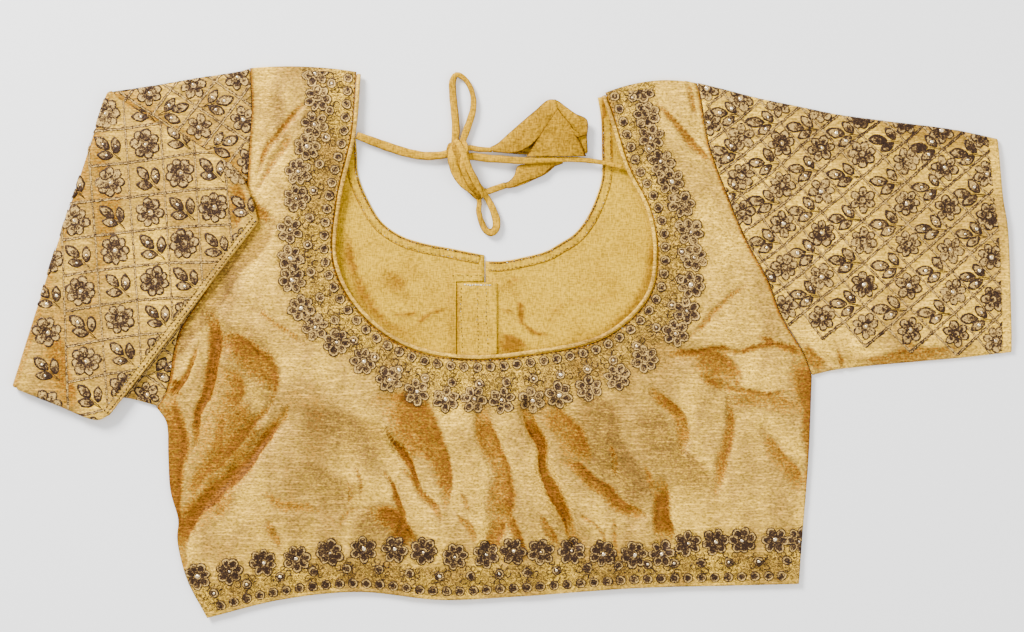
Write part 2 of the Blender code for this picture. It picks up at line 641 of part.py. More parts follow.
def make_tassels():
    turn = np.linspace(0, 2 * np.pi, ROUND_SIDES, endpoint=False)
    for name, rows in (("tassel_upper", TASSEL_UPPER), ("tassel_lower", TASSEL_LOWER)):
        rings = []
        for first, last, thickness in rows:
            first, last = np.array(first), np.array(last)
            xy = (first + last) / 2 + np.cos(turn)[:, None] * (last - first) / 2
            rings.append(lifted(xy, (1 + np.sin(turn)) * thickness / 2))
        add_rings(name, np.array(rings), TIE_CLOTH)


def main():
    for old in list(bpy.data.objects):
        bpy.data.objects.remove(old, do_unlink=True)
    home = bpy.data.collections.new(COLLECTION)
    bpy.context.scene.collection.children.link(home)
    make_back()
    make_piping()
    make_fronts()
    make_strips()
    make_right_sleeve()
    make_left_sleeve()
    make_cords()
    make_knot()
    make_tassels()


main()
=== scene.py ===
"""Looks of a short fitted blouse in gold shot silk, laid flat with its back up.

Plan sizes are in millimetres, in the plan of the laid-out garment: +X to the right, +Y from hem to
shoulders, +Z up from the surface. Everything is put into the scene in metres.
"""

import bmesh
import bpy
import numpy as np
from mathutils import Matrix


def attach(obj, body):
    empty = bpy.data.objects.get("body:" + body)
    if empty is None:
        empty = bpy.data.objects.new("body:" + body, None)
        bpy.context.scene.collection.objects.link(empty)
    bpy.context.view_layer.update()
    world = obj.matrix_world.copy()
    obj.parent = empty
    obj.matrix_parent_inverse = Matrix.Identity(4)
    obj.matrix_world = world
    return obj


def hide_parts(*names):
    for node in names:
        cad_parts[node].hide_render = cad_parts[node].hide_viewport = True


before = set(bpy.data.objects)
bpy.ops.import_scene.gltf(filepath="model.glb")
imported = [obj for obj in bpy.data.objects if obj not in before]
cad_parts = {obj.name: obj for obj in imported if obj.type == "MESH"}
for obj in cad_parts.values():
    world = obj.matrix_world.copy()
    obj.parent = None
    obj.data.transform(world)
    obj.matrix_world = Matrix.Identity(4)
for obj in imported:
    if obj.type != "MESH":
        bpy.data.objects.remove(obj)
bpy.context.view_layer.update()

MM = 0.001
BODY = "root"

# Camera straight above the garment
VIEW_WIDTH = 737.3
VIEW_CENTRE = (0.0, 18.4)
LENS = 70.0
SENSOR = 36.0
CLOTH_HEIGHT = 4.0

# Cloth walls and heights, as the solids have them
WALL_BACK = 1.4
WALL_FRONT = 1.4
WALL_SLEEVE = 1.1
WALL_TURNED = 2.6
WALL_STRIP = 1.0
SEAM_GAP = 0.6
FLOOR_GAP = 0.05
EDGE_UNDERSIDE = 1.8
BODY_UNDERSIDE = 3.4
EDGE_RISE = 18.0
PUFF_HEIGHT = 4.6
PUFF_EDGE = 55.0
PUFF_NECK = 60.0
NECK_PUFF = 0.25
COVER_EDGE = 22.0
STRIP_TOP = 2.85
LOWEST_BACK = 1.8
TURNED_UNDERSIDE = 5.4
SLEEVE_HEIGHT = 4.4
SLEEVE_EDGE_HEIGHT = 3.0
SLEEVE_EDGE = 16.0
EDGE_ROUND = 1.7

# Rows along the neck of the back panel, between its corners, with their shares of the neck
NECK_STOPS = (0.0, 0.26, 0.37, 0.68, 0.78, 1.0)
BACK_ROWS = (92, 66, 216, 66, 92)
BACK_COLUMNS = 88

# Rise of the two shoulder edges, and the rows over which it fades
SHOULDER_ARCH = (2.6, 5.0)
SHOULDER_FADE = 24

# Rolled edge round the neck
PIPING_RADIUS = 1.5
PIPING_GAP = 0.4
PIPING_LIFT = 1.5

# Plan outlines, columns: x, y
BACK_NECK = (
    (-108.7, 194.0), (-112.3, 149.4), (-123.1, 100.4), (-125.3, 58.0), (-110.2, 27.0), (-79.9, 1.8),
    (-39.6, -9.0), (10.8, -6.5), (67.0, 6.8), (95.8, 34.2), (101.5, 61.6), (97.2, 92.5), (81.4, 124.9),
    (69.1, 163.8), (64.1, 178.2),
)
LEFT_ARMHOLE = (
    (-188.6, 196.9), (-187.2, 171.0), (-188.6, 145.1), (-191.5, 109.1), (-201.6, 73.1), (-220.3, 37.1),
    (-239.0, 8.3), (-243.4, -7.6), (-248.4, -34.9), (-255.6, -47.9),
)
LEFT_SIDE = (
    (-255.6, -47.9), (-249.1, -58.0), (-247.7, -82.4), (-246.2, -106.9), (-240.5, -128.5),
    (-241.2, -142.9), (-234.0, -171.7), (-219.6, -199.1),
)
HEM = (
    (-219.6, -199.1), (-167.0, -186.1), (-110.9, -180.4), (-51.8, -186.1), (0.0, -184.0),
    (49.0, -180.4), (92.2, -177.5), (149.8, -176.0), (206.6, -174.6),
)
RIGHT_SIDE = ((206.6, -174.6), (209.5, -135.7), (213.1, -92.5), (214.6, -63.7), (216.0, -24.8))
RIGHT_ARMHOLE = (
    (216.0, -24.8), (209.5, -7.6), (193.7, 19.1), (183.6, 45.7), (169.2, 71.6), (155.2, 104.8),
    (142.2, 140.0), (135.4, 177.5), (133.2, 186.1),
)
FRONT_NECK_LEFT = (
    (-112.3, 192.6), (-114.5, 166.7), (-112.0, 137.9), (-110.9, 119.9), (-103.0, 100.4), (-93.6, 86.0),
    (-79.2, 76.0), (-63.4, 70.9), (-44.6, 67.3), (-19.9, 62.3),
)
FRONT_NECK_RIGHT = (
    (61.9, 176.0), (64.1, 161.6), (64.8, 133.6), (64.8, 118.4), (60.5, 103.3), (53.3, 88.2),
    (44.6, 77.4), (34.6, 70.9), (24.5, 65.2), (5.0, 60.1), (-7.2, 58.0), (-19.0, 58.0),
)
SLEEVE_UPPER = (
    (134.3, 186.5), (150.5, 182.5), (178.6, 175.3), (206.6, 169.6), (234.7, 163.8), (272.2, 158.8),
    (317.5, 153.0), (349.9, 146.2),
)
SLEEVE_LOWER = (
    (217.1, -24.1), (232.6, -20.5), (257.8, -17.6), (293.8, -14.4), (329.0, -11.2), (360.0, -7.6),
)
SLEEVE_CUFF = ((349.9, 146.2), (353.5, 104.8), (357.1, 81.0), (359.3, 20.5), (360.0, -7.6))
FOLD_LINE = ((-291.6, 179.6), (-307.4, 130.0), (-325.4, 76.0), (-342.7, 22.0), (-360.0, -32.8))
TURNED_CUFF = ((-182.2, 86.0), (-209.5, 50.8), (-236.2, 15.5), (-263.5, -19.8), (-289.4, -52.9))
TURNED_UPPER = (
    (-291.6, 179.6), (-257.0, 160.9), (-223.2, 140.0), (-196.6, 122.8), (-183.6, 92.5), (-182.2, 86.0),
)
TURNED_LOWER = ((-360.0, -32.8), (-329.0, -45.0), (-298.2, -56.5), (-289.4, -52.9))
LOWER_UPPER = ((-189.5, 196.6), (-195.8, 194.8), (-224.6, 190.4), (-253.4, 185.4), (-291.6, 179.6))
LOWER_LOWER = ((-256.8, -45.7), (-277.2, -40.7), (-318.2, -36.4), (-360.0, -32.8))

# Hollows of the back panel that the solid has, columns: start, end, half width, height
BACK_FOLDS = (
    ((-215.3, 8.3), (-222.5, -49.3), 7.0, -3.0),
    ((-224.6, -49.3), (-233.3, -99.7), 8.0, -2.5),
    ((-164.2, -56.5), (-206.6, -98.3), 7.0, -3.0),
    ((-206.6, -98.3), (-236.9, -127.1), 7.0, -3.0),
    ((-91.4, -42.1), (-80.6, -85.3), 9.0, -3.0),
    ((-80.6, -81.7), (-59.0, -114.1), 7.0, -2.5),
    ((-17.3, -54.4), (-10.1, -146.5), 9.0, -3.0),
    ((10.1, -49.3), (23.8, -99.0), 8.0, -3.8),
    ((23.8, -99.0), (46.8, -142.9), 8.0, -3.8),
    ((31.7, -49.3), (70.6, -98.3), 8.0, -3.0),
    ((70.6, -98.3), (89.3, -124.9), 7.0, -2.5),
    ((106.6, -37.8), (123.8, -70.9), 9.0, -2.5),
    ((151.9, -60.1), (146.9, -99.7), 9.0, -2.0),
    ((108.0, -111.2), (109.4, -146.5), 8.0, -2.5),
    ((117.4, -11.2), (200.2, -6.1), 8.0, -2.5),
    ((-188.6, 24.1), (-148.3, -1.8), 6.0, -1.5),
    ((-175.7, -115.6), (-86.4, -118.4), 9.0, -1.5),
)

# Creases of the back panel, columns: half width, height, depth of colour, points along the crease. Their
# colour is partly the silk's own shot colour and partly painted shade.
BACK_CREASES = (
    (-2.0, 1.15, 0.3, (
        (-222.5, 21.2, 2.9), (-215.3, 14.0, 4.7), (-212.4, -0.4, 5.0), (-215.3, -20.5, 4.0),
        (-220.3, -38.5, 3.2), (-225.4, -55.1, 2.2), (-229.0, -78.1, 1.4),
    )),
    (-0.8, 0.95, 0.6, (
        (-210.2, 5.4, 3.6), (-195.8, -4.7, 7.9), (-182.9, -14.8, 10.1), (-173.5, -27.7, 6.5),
        (-172.8, -42.1, 2.9),
    )),
    (-0.6, 0.7, 0.7, ((-205.9, -20.5, 3.6), (-197.3, -33.5, 6.5), (-204.5, -46.4, 4.3))),
    (-0.8, 0.55, 0.4, (
        (-186.5, 24.8, 0.7), (-172.8, 14.8, 1.2), (-159.1, 4.0, 1.2), (-147.6, -2.5, 0.7),
    )),
    (-1.0, 0.85, 0.4, ((-238.3, -2.5, 0.7), (-244.1, -19.1, 1.3), (-247.7, -36.4, 1.7))),
    (-1.2, 0.95, 0.35, (
        (-226.8, -6.1, 1.1), (-234.0, -22.0, 1.7), (-241.9, -33.5, 2.4), (-245.5, -40.0, 1.7),
    )),
    (-1.4, 1.4, 0.4, (
        (-249.1, -28.4, 0.9), (-240.5, -31.3, 1.3), (-244.8, -36.4, 1.2), (-238.3, -40.0, 0.9),
    )),
    (-0.6, 1.0, 0.6, (
        (-251.3, -34.9, 4.3), (-247.0, -56.5, 10.8), (-244.1, -78.1, 11.5), (-244.8, -99.7, 7.9),
        (-244.1, -124.9, 5.8), (-237.6, -157.3, 4.3),
    )),
    (-1.0, 1.1, 0.5, (
        (-161.3, -49.3, 1.4), (-172.8, -63.7, 2.9), (-187.2, -83.9, 4.3), (-198.0, -95.4, 5.8),
        (-215.3, -109.1, 6.5), (-229.7, -124.2, 6.5), (-236.9, -139.3, 5.0), (-238.3, -157.3, 3.6),
    )),
    (-1.0, 0.9, 0.7, (
        (-171.4, -42.8, 1.4), (-187.2, -59.4, 3.2), (-198.7, -70.9, 4.3), (-210.2, -82.4, 5.0),
        (-223.9, -98.3, 4.3),
    )),
    (-0.8, 0.85, 0.7, (
        (-208.8, -42.1, 2.2), (-210.2, -63.7, 4.3), (-214.6, -82.4, 5.0), (-224.6, -96.8, 4.3),
        (-234.7, -112.7, 3.6),
    )),
    (-0.3, 0.5, 0.8, (
        (-216.0, -36.4, 11.5), (-203.0, -68.0, 20.2), (-213.1, -99.7, 17.3), (-227.5, -130.0, 9.4),
    )),
    (-0.5, 0.5, 0.7, (
        (-182.9, -109.1, 1.6), (-169.9, -114.8, 2.9), (-154.1, -119.2, 2.6), (-138.2, -122.0, 1.6),
    )),
    (-0.8, 0.6, 0.5, ((-177.8, -128.5, 1.4), (-170.6, -139.3, 2.5), (-166.3, -148.7, 1.4))),
    (-0.6, 0.6, 0.4, ((-113.0, -90.4, 0.6), (-110.2, -103.3, 1.0), (-110.9, -114.1, 0.7))),
    (-0.6, 0.5, 0.4, ((-118.8, -98.3, 0.6), (-117.4, -112.7, 0.9), (-119.5, -119.9, 0.7))),
    (-0.4, 0.32, 0.6, (
        (-123.8, -135.7, 1.4), (-117.4, -122.8, 1.6), (-105.8, -119.9, 1.4), (-86.4, -118.4, 1.4),
    )),
    (-0.8, 0.86, 0.4, (
        (-93.6, -43.6, 6.5), (-74.9, -50.8, 13.0), (-61.9, -65.2, 11.5), (-53.3, -83.9, 7.2),
        (-47.5, -102.6, 5.0), (-49.7, -117.7, 2.9),
    )),
    (-0.6, 0.7, 0.6, ((-83.5, -56.5, 5.8), (-77.8, -70.9, 7.2), (-66.2, -85.3, 5.8))),
    (-2.4, 1.35, 0.25, (
        (-92.2, -62.3, 0.7), (-85.0, -72.4, 1.6), (-77.8, -82.4, 2.0), (-71.3, -94.0, 1.9),
        (-63.4, -106.9, 0.9),
    )),
    (-1.6, 1.0, 0.4, (
        (-90.7, -92.5, 0.7), (-86.4, -104.0, 1.4), (-82.8, -114.1, 2.2), (-78.5, -127.1, 2.2),
        (-82.1, -135.7, 1.4),
    )),
    (-1.0, 0.85, 0.45, (
        (-80.6, -89.6, 0.7), (-69.1, -102.6, 1.8), (-59.0, -115.6, 2.2), (-51.1, -127.1, 1.4),
    )),
    (-1.0, 0.95, 0.55, (
        (-97.9, -122.8, 4.3), (-86.4, -127.1, 6.5), (-77.8, -137.2, 6.5), (-70.6, -146.5, 4.3),
    )),
    (-2.2, 0.8, 0.35, (
        (-23.0, -46.4, 5.0), (-19.4, -63.7, 5.8), (-13.7, -78.1, 6.5), (-7.9, -92.5, 7.9),
        (-6.5, -106.9, 9.0), (-8.6, -119.9, 8.6), (-10.1, -134.3, 7.2),
    )),
    (-1.0, 0.85, 0.35, ((-9.4, -124.2, 4.3), (-12.2, -138.6, 4.3), (-16.6, -154.4, 2.9))),
    (-1.0, 0.85, 0.35, ((-5.0, -122.8, 3.6), (2.9, -138.6, 3.6), (11.5, -154.4, 2.2))),
    (-2.6, 1.2, -0.3, (
        (10.1, -47.9, 4.0), (15.1, -62.3, 4.3), (20.9, -78.1, 3.6), (24.5, -94.0, 3.6),
        (29.5, -108.4, 4.3), (36.0, -121.3, 4.3), (42.5, -133.6, 3.2), (46.8, -144.4, 2.2),
    )),
    (-1.2, 0.75, 0.6, ((25.9, -46.4, 5.8), (36.0, -59.4, 7.9), (47.5, -75.2, 6.5), (56.2, -86.8, 2.9))),
    (-1.4, 0.95, 0.6, (
        (37.4, -83.9, 1.4), (49.0, -92.5, 2.9), (63.4, -104.0, 4.3), (76.3, -116.3, 4.3),
        (93.6, -127.1, 2.2),
    )),
    (-0.6, 0.5, 0.5, ((69.1, -69.5, 1.1), (72.0, -83.9, 1.8), (73.4, -98.3, 1.1))),
    (-0.8, 0.8, 0.5, ((20.9, -122.8, 1.1), (25.9, -134.3, 2.9), (31.7, -146.5, 2.9))),
    (-0.7, 0.6, 0.3, ((72.0, -124.9, 0.6), (74.9, -135.7, 1.2), (76.3, -150.1, 1.0))),
    (-0.8, 0.55, 0.5, ((45.4, -122.8, 0.7), (59.0, -131.4, 1.4), (70.6, -147.2, 1.4))),
    (-0.8, 0.6, 0.5, ((-38.9, -122.8, 0.7), (-33.1, -131.4, 2.2), (-26.6, -144.4, 1.8))),
    (-0.5, 0.5, 0.6, ((-36.0, -106.9, 0.7), (-31.7, -114.1, 1.4), (-30.2, -122.8, 0.7))),
    (-1.6, 0.8, 0.5, (
        (100.8, -34.2, 2.2), (109.4, -42.1, 3.6), (118.1, -52.2, 4.3), (123.8, -65.2, 3.6),
        (124.6, -80.3, 2.2),
    )),
    (-0.9, 0.6, 0.5, ((95.8, -87.5, 0.7), (98.6, -98.3, 1.8), (102.2, -106.9, 2.2))),
    (-1.8, 1.0, 0.25, (
        (106.6, -102.6, 3.6), (108.0, -114.1, 5.4), (108.7, -128.5, 5.4), (109.4, -142.9, 5.0),
    )),
    (-1.6, 0.75, 0.6, (
        (155.5, -39.2, 1.8), (157.7, -52.9, 2.9), (156.2, -70.9, 3.6), (150.5, -88.2, 3.2),
        (146.2, -108.4, 2.2),
    )),
    (-0.6, 0.9, 0.55, (
        (205.9, -7.6, 3.6), (209.5, -22.0, 7.2), (211.7, -38.5, 6.5), (213.1, -63.7, 3.6),
        (213.1, -92.5, 2.2), (211.7, -110.5, 1.4),
    )),
    (-0.9, 0.55, 0.7, (
        (180.0, -63.7, 2.9), (191.5, -81.7, 4.3), (204.5, -98.3, 3.6), (211.7, -108.4, 2.2),
    )),
    (-0.7, 1.0, 0.4, ((115.9, -10.4, 1.7), (131.0, -7.6, 2.0), (151.2, -5.4, 1.9), (159.1, -8.3, 1.6))),
    (-0.7, 0.9, 0.4, (
        (152.6, -7.6, 1.6), (171.4, -5.4, 1.7), (185.8, -4.0, 1.7), (195.8, -2.5, 1.9), (205.2, -6.1, 2.0),
        (209.5, -14.8, 2.2),
    )),
    (-0.6, 0.85, 0.45, (
        (131.0, -19.8, 1.6), (142.6, -27.7, 2.0), (160.6, -34.9, 2.0), (177.1, -36.4, 1.7),
        (200.2, -36.4, 1.6),
    )),
    (-0.6, 0.78, 0.6, (
        (128.2, -11.2, 4.3), (141.1, -14.8, 8.6), (154.1, -22.0, 8.6), (161.3, -30.6, 4.3),
    )),
    (-0.5, 0.8, 0.4, (
        (151.2, -6.1, 1.4), (155.5, -17.6, 1.6), (161.3, -30.6, 1.7), (165.6, -36.4, 1.4),
    )),
    (-0.3, 0.9, 0.5, ((177.1, 4.0, 1.6), (189.4, -2.5, 1.9), (200.2, -6.1, 2.0), (208.8, -13.3, 1.9))),
    (-1.0, 0.6, 0.5, (
        (167.0, 40.7, 0.7), (155.5, 31.3, 1.4), (144.0, 22.0, 1.8), (135.4, 11.2, 1.8), (128.2, 4.0, 1.1),
    )),
    (-0.4, 0.5, 0.7, (
        (155.5, -43.6, 3.6), (172.8, -42.1, 5.8), (190.1, -43.6, 5.8), (204.5, -49.3, 3.6),
    )),
    (-1.2, 0.75, -0.6, (
        (-149.8, 171.0, 1.1), (-157.7, 160.9, 1.9), (-170.6, 145.1, 2.4), (-180.0, 130.7, 2.0),
        (-184.3, 122.0, 1.3),
    )),
    (-0.9, 0.5, 0.7, (
        (-158.4, 150.8, 1.4), (-164.2, 138.6, 2.4), (-175.0, 123.5, 2.2), (-187.2, 109.1, 1.4),
    )),
    (-0.9, 0.85, 0.6, (
        (-195.8, 109.1, 2.2), (-188.6, 99.7, 4.3), (-181.4, 92.5, 5.0), (-171.4, 86.0, 2.9),
    )),
    (-1.5, 0.9, 0.4, (
        (105.1, 171.0, 1.1), (117.4, 156.6, 2.0), (129.6, 142.9, 2.2), (142.6, 129.2, 1.4),
    )),
    (-1.0, 0.6, 0.5, ((125.3, 185.4, 1.1), (128.2, 175.3, 1.7), (131.8, 165.2, 1.1))),
)

# Broad patches of painted shade on the back panel, in the same columns as the creases; the first is a painted
# shadow along the cuff of the turned sleeve
BACK_SHADES = (
    (0.0, 1.2, 0.7, (
        (-177.1, 94.7, 3.6), (-180.0, 80.3, 6.5), (-204.5, 45.7, 7.2), (-230.4, 11.2, 6.5),
        (-249.1, -14.8, 5.8),
    )),
    (0.0, 0.75, 0.8, (
        (-159.8, -56.5, 10.1), (-131.0, -62.3, 15.8), (-103.7, -74.5, 15.8), (-89.3, -86.8, 10.1),
    )),
    (0.0, 0.6, 0.9, (
        (-218.9, 8.3, 11.5), (-192.2, -6.1, 17.3), (-180.0, -31.3, 14.4), (-185.0, -56.5, 11.5),
    )),
    (0.0, 0.5, 0.9, ((-180.0, 188.3, 5.8), (-174.2, 166.7, 10.1), (-175.7, 137.9, 10.1))),
    (0.0, 0.9, 0.9, ((51.8, -39.2, 7.2), (64.8, -56.5, 11.5), (63.4, -81.7, 11.5), (56.2, -99.7, 8.6))),
    (0.0, 0.6, 0.8, ((-159.8, -88.9, 10.1), (-131.0, -106.9, 14.4), (-109.4, -121.3, 13.0))),
    (0.0, 0.5, 0.8, ((-198.7, -38.5, 7.2), (-188.6, -63.7, 10.1), (-180.0, -78.1, 8.6))),
    (0.0, 0.9, 0.8, (
        (63.4, -63.7, 7.2), (74.2, -85.3, 13.0), (85.0, -103.3, 13.0), (95.8, -117.7, 7.2),
    )),
    (0.0, 0.35, 0.8, ((128.2, -31.3, 10.1), (146.2, -42.1, 13.0), (165.6, -56.5, 10.1))),
    (0.0, 0.8, 0.8, (
        (92.2, -42.1, 8.6), (103.0, -70.9, 13.0), (124.6, -92.5, 13.0), (139.0, -114.1, 10.1),
    )),
    (0.0, 0.8, 0.8, ((-116.6, -128.5, 5.8), (-95.0, -132.8, 10.1), (-66.2, -141.5, 8.6))),
    (0.0, 0.3, 0.8, ((-195.8, -128.5, 10.1), (-159.8, -135.7, 13.0), (-131.0, -135.7, 8.6))),
    (0.0, 0.6, 0.8, ((31.7, -114.1, 5.8), (28.8, -128.5, 8.6), (28.8, -142.9, 7.2))),
    (0.0, 0.3, 0.8, ((-44.6, -56.5, 5.8), (-33.8, -85.3, 7.2), (-30.2, -121.3, 5.8))),
)
# Creases of the fronts, in the same columns as the back's; their colour is painted shade
FRONT_CREASES = (
    (0.9, 0.8, 0.4, ((-85.7, 22.7, 0.9), (-78.5, 18.4, 1.4), (-68.4, 19.8, 0.9))),
    (0.8, 0.7, 0.4, ((-45.4, 24.1, 0.9), (-62.6, 16.9, 1.4), (-69.1, 10.4, 0.9))),
    (0.6, 0.5, 0.4, ((-8.6, 23.4, 0.7), (-5.0, 20.5, 1.4), (0.0, 19.1, 0.7))),
    (0.9, 0.9, 0.3, (
        (2.9, 37.1, 0.7), (5.8, 26.3, 1.4), (6.5, 15.5, 1.4), (14.4, 6.8, 1.7), (28.8, 6.1, 0.7),
    )),
    (0.6, 0.6, 0.4, ((-10.1, 39.2, 0.7), (-2.9, 41.4, 1.2), (0.7, 44.3, 1.2), (8.6, 44.3, 0.7))),
    (0.6, 0.9, 0.6, ((-8.6, 2.5, 4.3), (0.0, -2.5, 6.5), (8.6, -6.8, 4.3))),
    (0.5, 0.4, 0.4, (
        (13.7, -6.1, 0.7), (20.2, 3.2, 1.2), (34.6, 22.7, 1.2), (67.0, 32.8, 1.2), (79.2, 34.2, 0.7),
    )),
    (0.5, 0.6, 0.4, ((-108.0, 137.9, 0.7), (-100.8, 127.1, 1.2), (-98.6, 109.1, 0.7))),
    (0.4, 0.5, 0.8, ((-95.0, 51.5, 2.9), (-80.6, 37.1, 5.0), (-73.4, 26.3, 2.9))),
    (0.6, 0.9, 0.4, ((64.1, 181.1, 1.1), (65.5, 159.5, 1.4), (67.7, 129.2, 1.2))),
    (0.4, 0.6, 0.5, ((70.6, 171.0, 0.7), (72.0, 137.9, 1.0), (71.3, 122.0, 0.7))),
    (0.3, 0.7, 0.7, ((-120.2, 80.3, 2.2), (-115.2, 51.5, 3.6), (-100.8, 22.7, 3.6), (-73.4, 1.1, 2.9))),
    (0.3, 0.6, 0.7, ((103.0, 80.3, 2.2), (99.4, 51.5, 2.9), (85.0, 22.7, 2.9), (56.2, 1.1, 2.2))),
)
# Creases of the right sleeve, in the same columns; their colour is partly the silk's shot colour and partly
# painted shade
SLEEVE_CREASES = (
    (-0.6, 0.05, 0.8, (
        (249.1, 165.2, 2.9), (283.0, 156.6, 5.0), (315.4, 149.4, 5.0), (340.6, 143.6, 3.6),
    )),
    (-0.8, 0.8, 0.4, ((234.7, -4.7, 0.9), (238.3, -19.1, 1.4))),
    (-0.6, 0.6, 0.7, ((250.6, -16.2, 3.6), (290.2, -10.4, 5.0), (326.2, -6.1, 3.6))),
    (-0.7, 0.6, 0.4, ((279.4, -1.8, 1.0), (297.4, -7.6, 1.6))),
    (-0.6, 0.8, 0.6, ((208.8, -2.5, 2.9), (214.6, -11.9, 5.8), (226.1, -17.6, 4.3))),
    (-0.4, 0.5, 0.7, (
        (135.4, 152.3, 1.4), (144.0, 116.3, 2.9), (160.6, 73.1, 2.9), (182.2, 29.9, 2.9),
    )),
)
# Painted shade on the right sleeve, along its upper edge where it turns under, and above its lower edge
SLEEVE_SHADES = (
    (0.0, 1.6, 0.9, (
        (239.8, 171.0, 2.9), (257.8, 166.7, 5.8), (283.0, 158.0, 8.6), (311.8, 150.8, 8.6),
        (340.6, 145.1, 7.2), (349.9, 143.6, 4.3),
    )),
    (0.0, 0.5, 0.9, ((216.0, -7.6, 2.9), (250.6, -14.8, 3.6), (301.0, -9.0, 3.6), (351.4, -3.2, 2.9))),
)
# Creases of the turned sleeve, in the same columns; their colour is partly the silk's shot colour and partly
# painted shade
TURNED_CREASES = (
    (-0.6, 0.5, 0.7, ((-332.6, 8.3, 4.3), (-324.0, -22.0, 6.5), (-314.6, -49.3, 4.3))),
    (-0.6, 0.5, 0.6, ((-280.8, 176.8, 2.2), (-260.6, 163.8, 2.9), (-237.6, 149.4, 2.2))),
    (-0.5, 0.6, 0.6, ((-203.0, 116.3, 2.9), (-195.8, 101.9, 5.0), (-201.6, 80.3, 3.6))),
    (-0.4, 0.4, 0.8, ((-303.8, 152.3, 3.6), (-289.4, 101.9, 5.8), (-296.6, 44.3, 5.8))),
)

# Ties and loops, columns: x, y, height of the centre line, radius
TIE_LEFT = (
    (-111.7, 148.4, 5.0, 2.5), (-106.6, 146.5, 4.0, 2.9), (-99.4, 143.9, 3.6, 3.1),
    (-87.8, 139.8, 3.4, 3.2), (-75.8, 136.1, 3.4, 3.2), (-63.9, 133.8, 3.4, 3.1),
    (-54.7, 133.9, 3.7, 2.9), (-47.8, 134.9, 4.0, 2.7),
)
TIE_RIGHT = (
    (-28.9, 133.3, 3.9, 2.6), (-23.8, 132.7, 4.0, 2.8), (-15.8, 131.7, 4.3, 2.8),
    (-8.6, 131.3, 5.0, 2.7), (5.8, 130.2, 6.0, 2.5), (20.2, 130.4, 6.0, 2.3), (34.6, 131.0, 5.6, 2.0),
    (49.0, 130.8, 5.4, 1.8), (63.4, 129.1, 5.2, 1.7), (72.0, 127.4, 5.2, 1.7), (79.6, 125.6, 5.2, 1.7),
)
LOOP_UPPER = (
    (-41.2, 145.3, 3.4, 2.5), (-40.6, 150.1, 3.2, 2.8), (-40.6, 156.6, 3.1, 2.8),
    (-41.5, 166.7, 3.1, 2.8), (-42.7, 178.7, 3.0, 2.7), (-42.6, 188.3, 2.9, 2.4),
    (-40.0, 192.2, 2.9, 2.0), (-35.3, 190.4, 2.9, 1.8), (-30.6, 184.3, 2.9, 1.8),
    (-27.9, 175.3, 3.0, 2.0), (-28.2, 166.7, 3.1, 2.4), (-30.2, 159.5, 3.1, 2.6),
    (-32.7, 152.3, 3.2, 2.6), (-34.9, 146.0, 3.4, 2.4),
)
LOOP_LOWER = (
    (-23.6, 100.7, 3.0, 1.8), (-24.0, 94.0, 3.0, 2.0), (-21.7, 85.3, 3.0, 2.2),
    (-18.6, 79.9, 3.0, 2.5), (-14.7, 78.5, 3.0, 2.7), (-11.7, 81.4, 3.0, 2.8), (-11.2, 86.8, 3.0, 2.8),
    (-13.0, 93.2, 3.0, 2.6), (-15.3, 98.6, 3.0, 2.4), (-17.7, 103.0, 3.0, 2.2),
)
TAIL_UPPER = ((-31.1, 139.4, 4.2, 2.0), (-23.8, 138.5, 3.6, 1.9), (-14.6, 138.2, 2.4, 1.7))
TAIL_LOWER = ((-18.9, 108.1, 3.4, 2.2), (-12.2, 110.1, 3.0, 2.4), (-4.8, 112.7, 2.7, 2.2))

# Stretches inside the knot that join them, in the same columns
IN_KNOT_LEFT = ((-42.6, 137.8, 5.0, 2.4), (-41.4, 142.0, 4.4, 2.4))
IN_KNOT_TURN = (
    (-36.4, 140.0, 5.0, 2.3), (-33.0, 128.0, 5.4, 2.3), (-27.6, 117.0, 5.0, 2.3),
    (-23.0, 110.6, 4.2, 2.2),
)
IN_KNOT_RIGHT = (
    (-33.6, 131.6, 4.6, 2.4), (-34.4, 126.0, 4.6, 2.2), (-29.0, 113.0, 4.0, 2.0),
    (-25.0, 105.6, 3.4, 1.9),
)
IN_KNOT_BACK = (
    (-21.6, 108.0, 4.4, 2.2), (-27.6, 119.0, 5.6, 2.2), (-33.2, 130.0, 6.0, 2.2),
    (-34.6, 137.0, 5.2, 2.1),
)

# Knot of the bow, columns: centre, half width across, height
BOW_KNOT = (
    ((-41.0, 144.4), 4.8, 6.6),
    ((-40.3, 140.4), 7.2, 10.5),
    ((-39.0, 135.0), 8.2, 12.4),
    ((-37.1, 128.5), 8.2, 12.2),
    ((-34.2, 121.7), 7.6, 11.2),
    ((-30.6, 115.2), 6.6, 10.0),
    ((-26.6, 109.8), 5.6, 9.0),
    ((-23.4, 105.8), 4.6, 7.6),
    ((-21.6, 103.0), 3.2, 5.6),
)

# Tassels, columns: two edge points of each section, thickness
TASSEL_UPPER = (
    ((-14.1, 140.0), (-14.0, 136.7), 4.0),
    ((-8.6, 144.4), (-6.5, 136.0), 5.0),
    ((0.0, 151.6), (2.9, 134.9), 6.5),
    ((10.1, 159.5), (15.1, 134.4), 8.0),
    ((20.9, 168.1), (26.6, 135.0), 9.5),
    ((28.8, 173.5), (38.9, 136.1), 10.0),
    ((34.6, 171.7), (47.5, 135.7), 9.0),
    ((41.8, 167.4), (53.3, 135.0), 7.5),
    ((53.3, 158.8), (54.7, 136.4), 6.0),
)
TASSEL_LOWER = (
    ((-4.0, 114.8), (-4.0, 111.6), 4.0),
    ((-0.7, 117.0), (0.7, 110.9), 4.2),
    ((3.6, 122.0), (7.9, 113.0), 4.0),
    ((7.2, 126.7), (16.6, 116.8), 3.0),
    ((12.2, 128.9), (24.5, 120.6), 2.6),
    ((20.2, 130.0), (31.7, 126.7), 2.4),
)

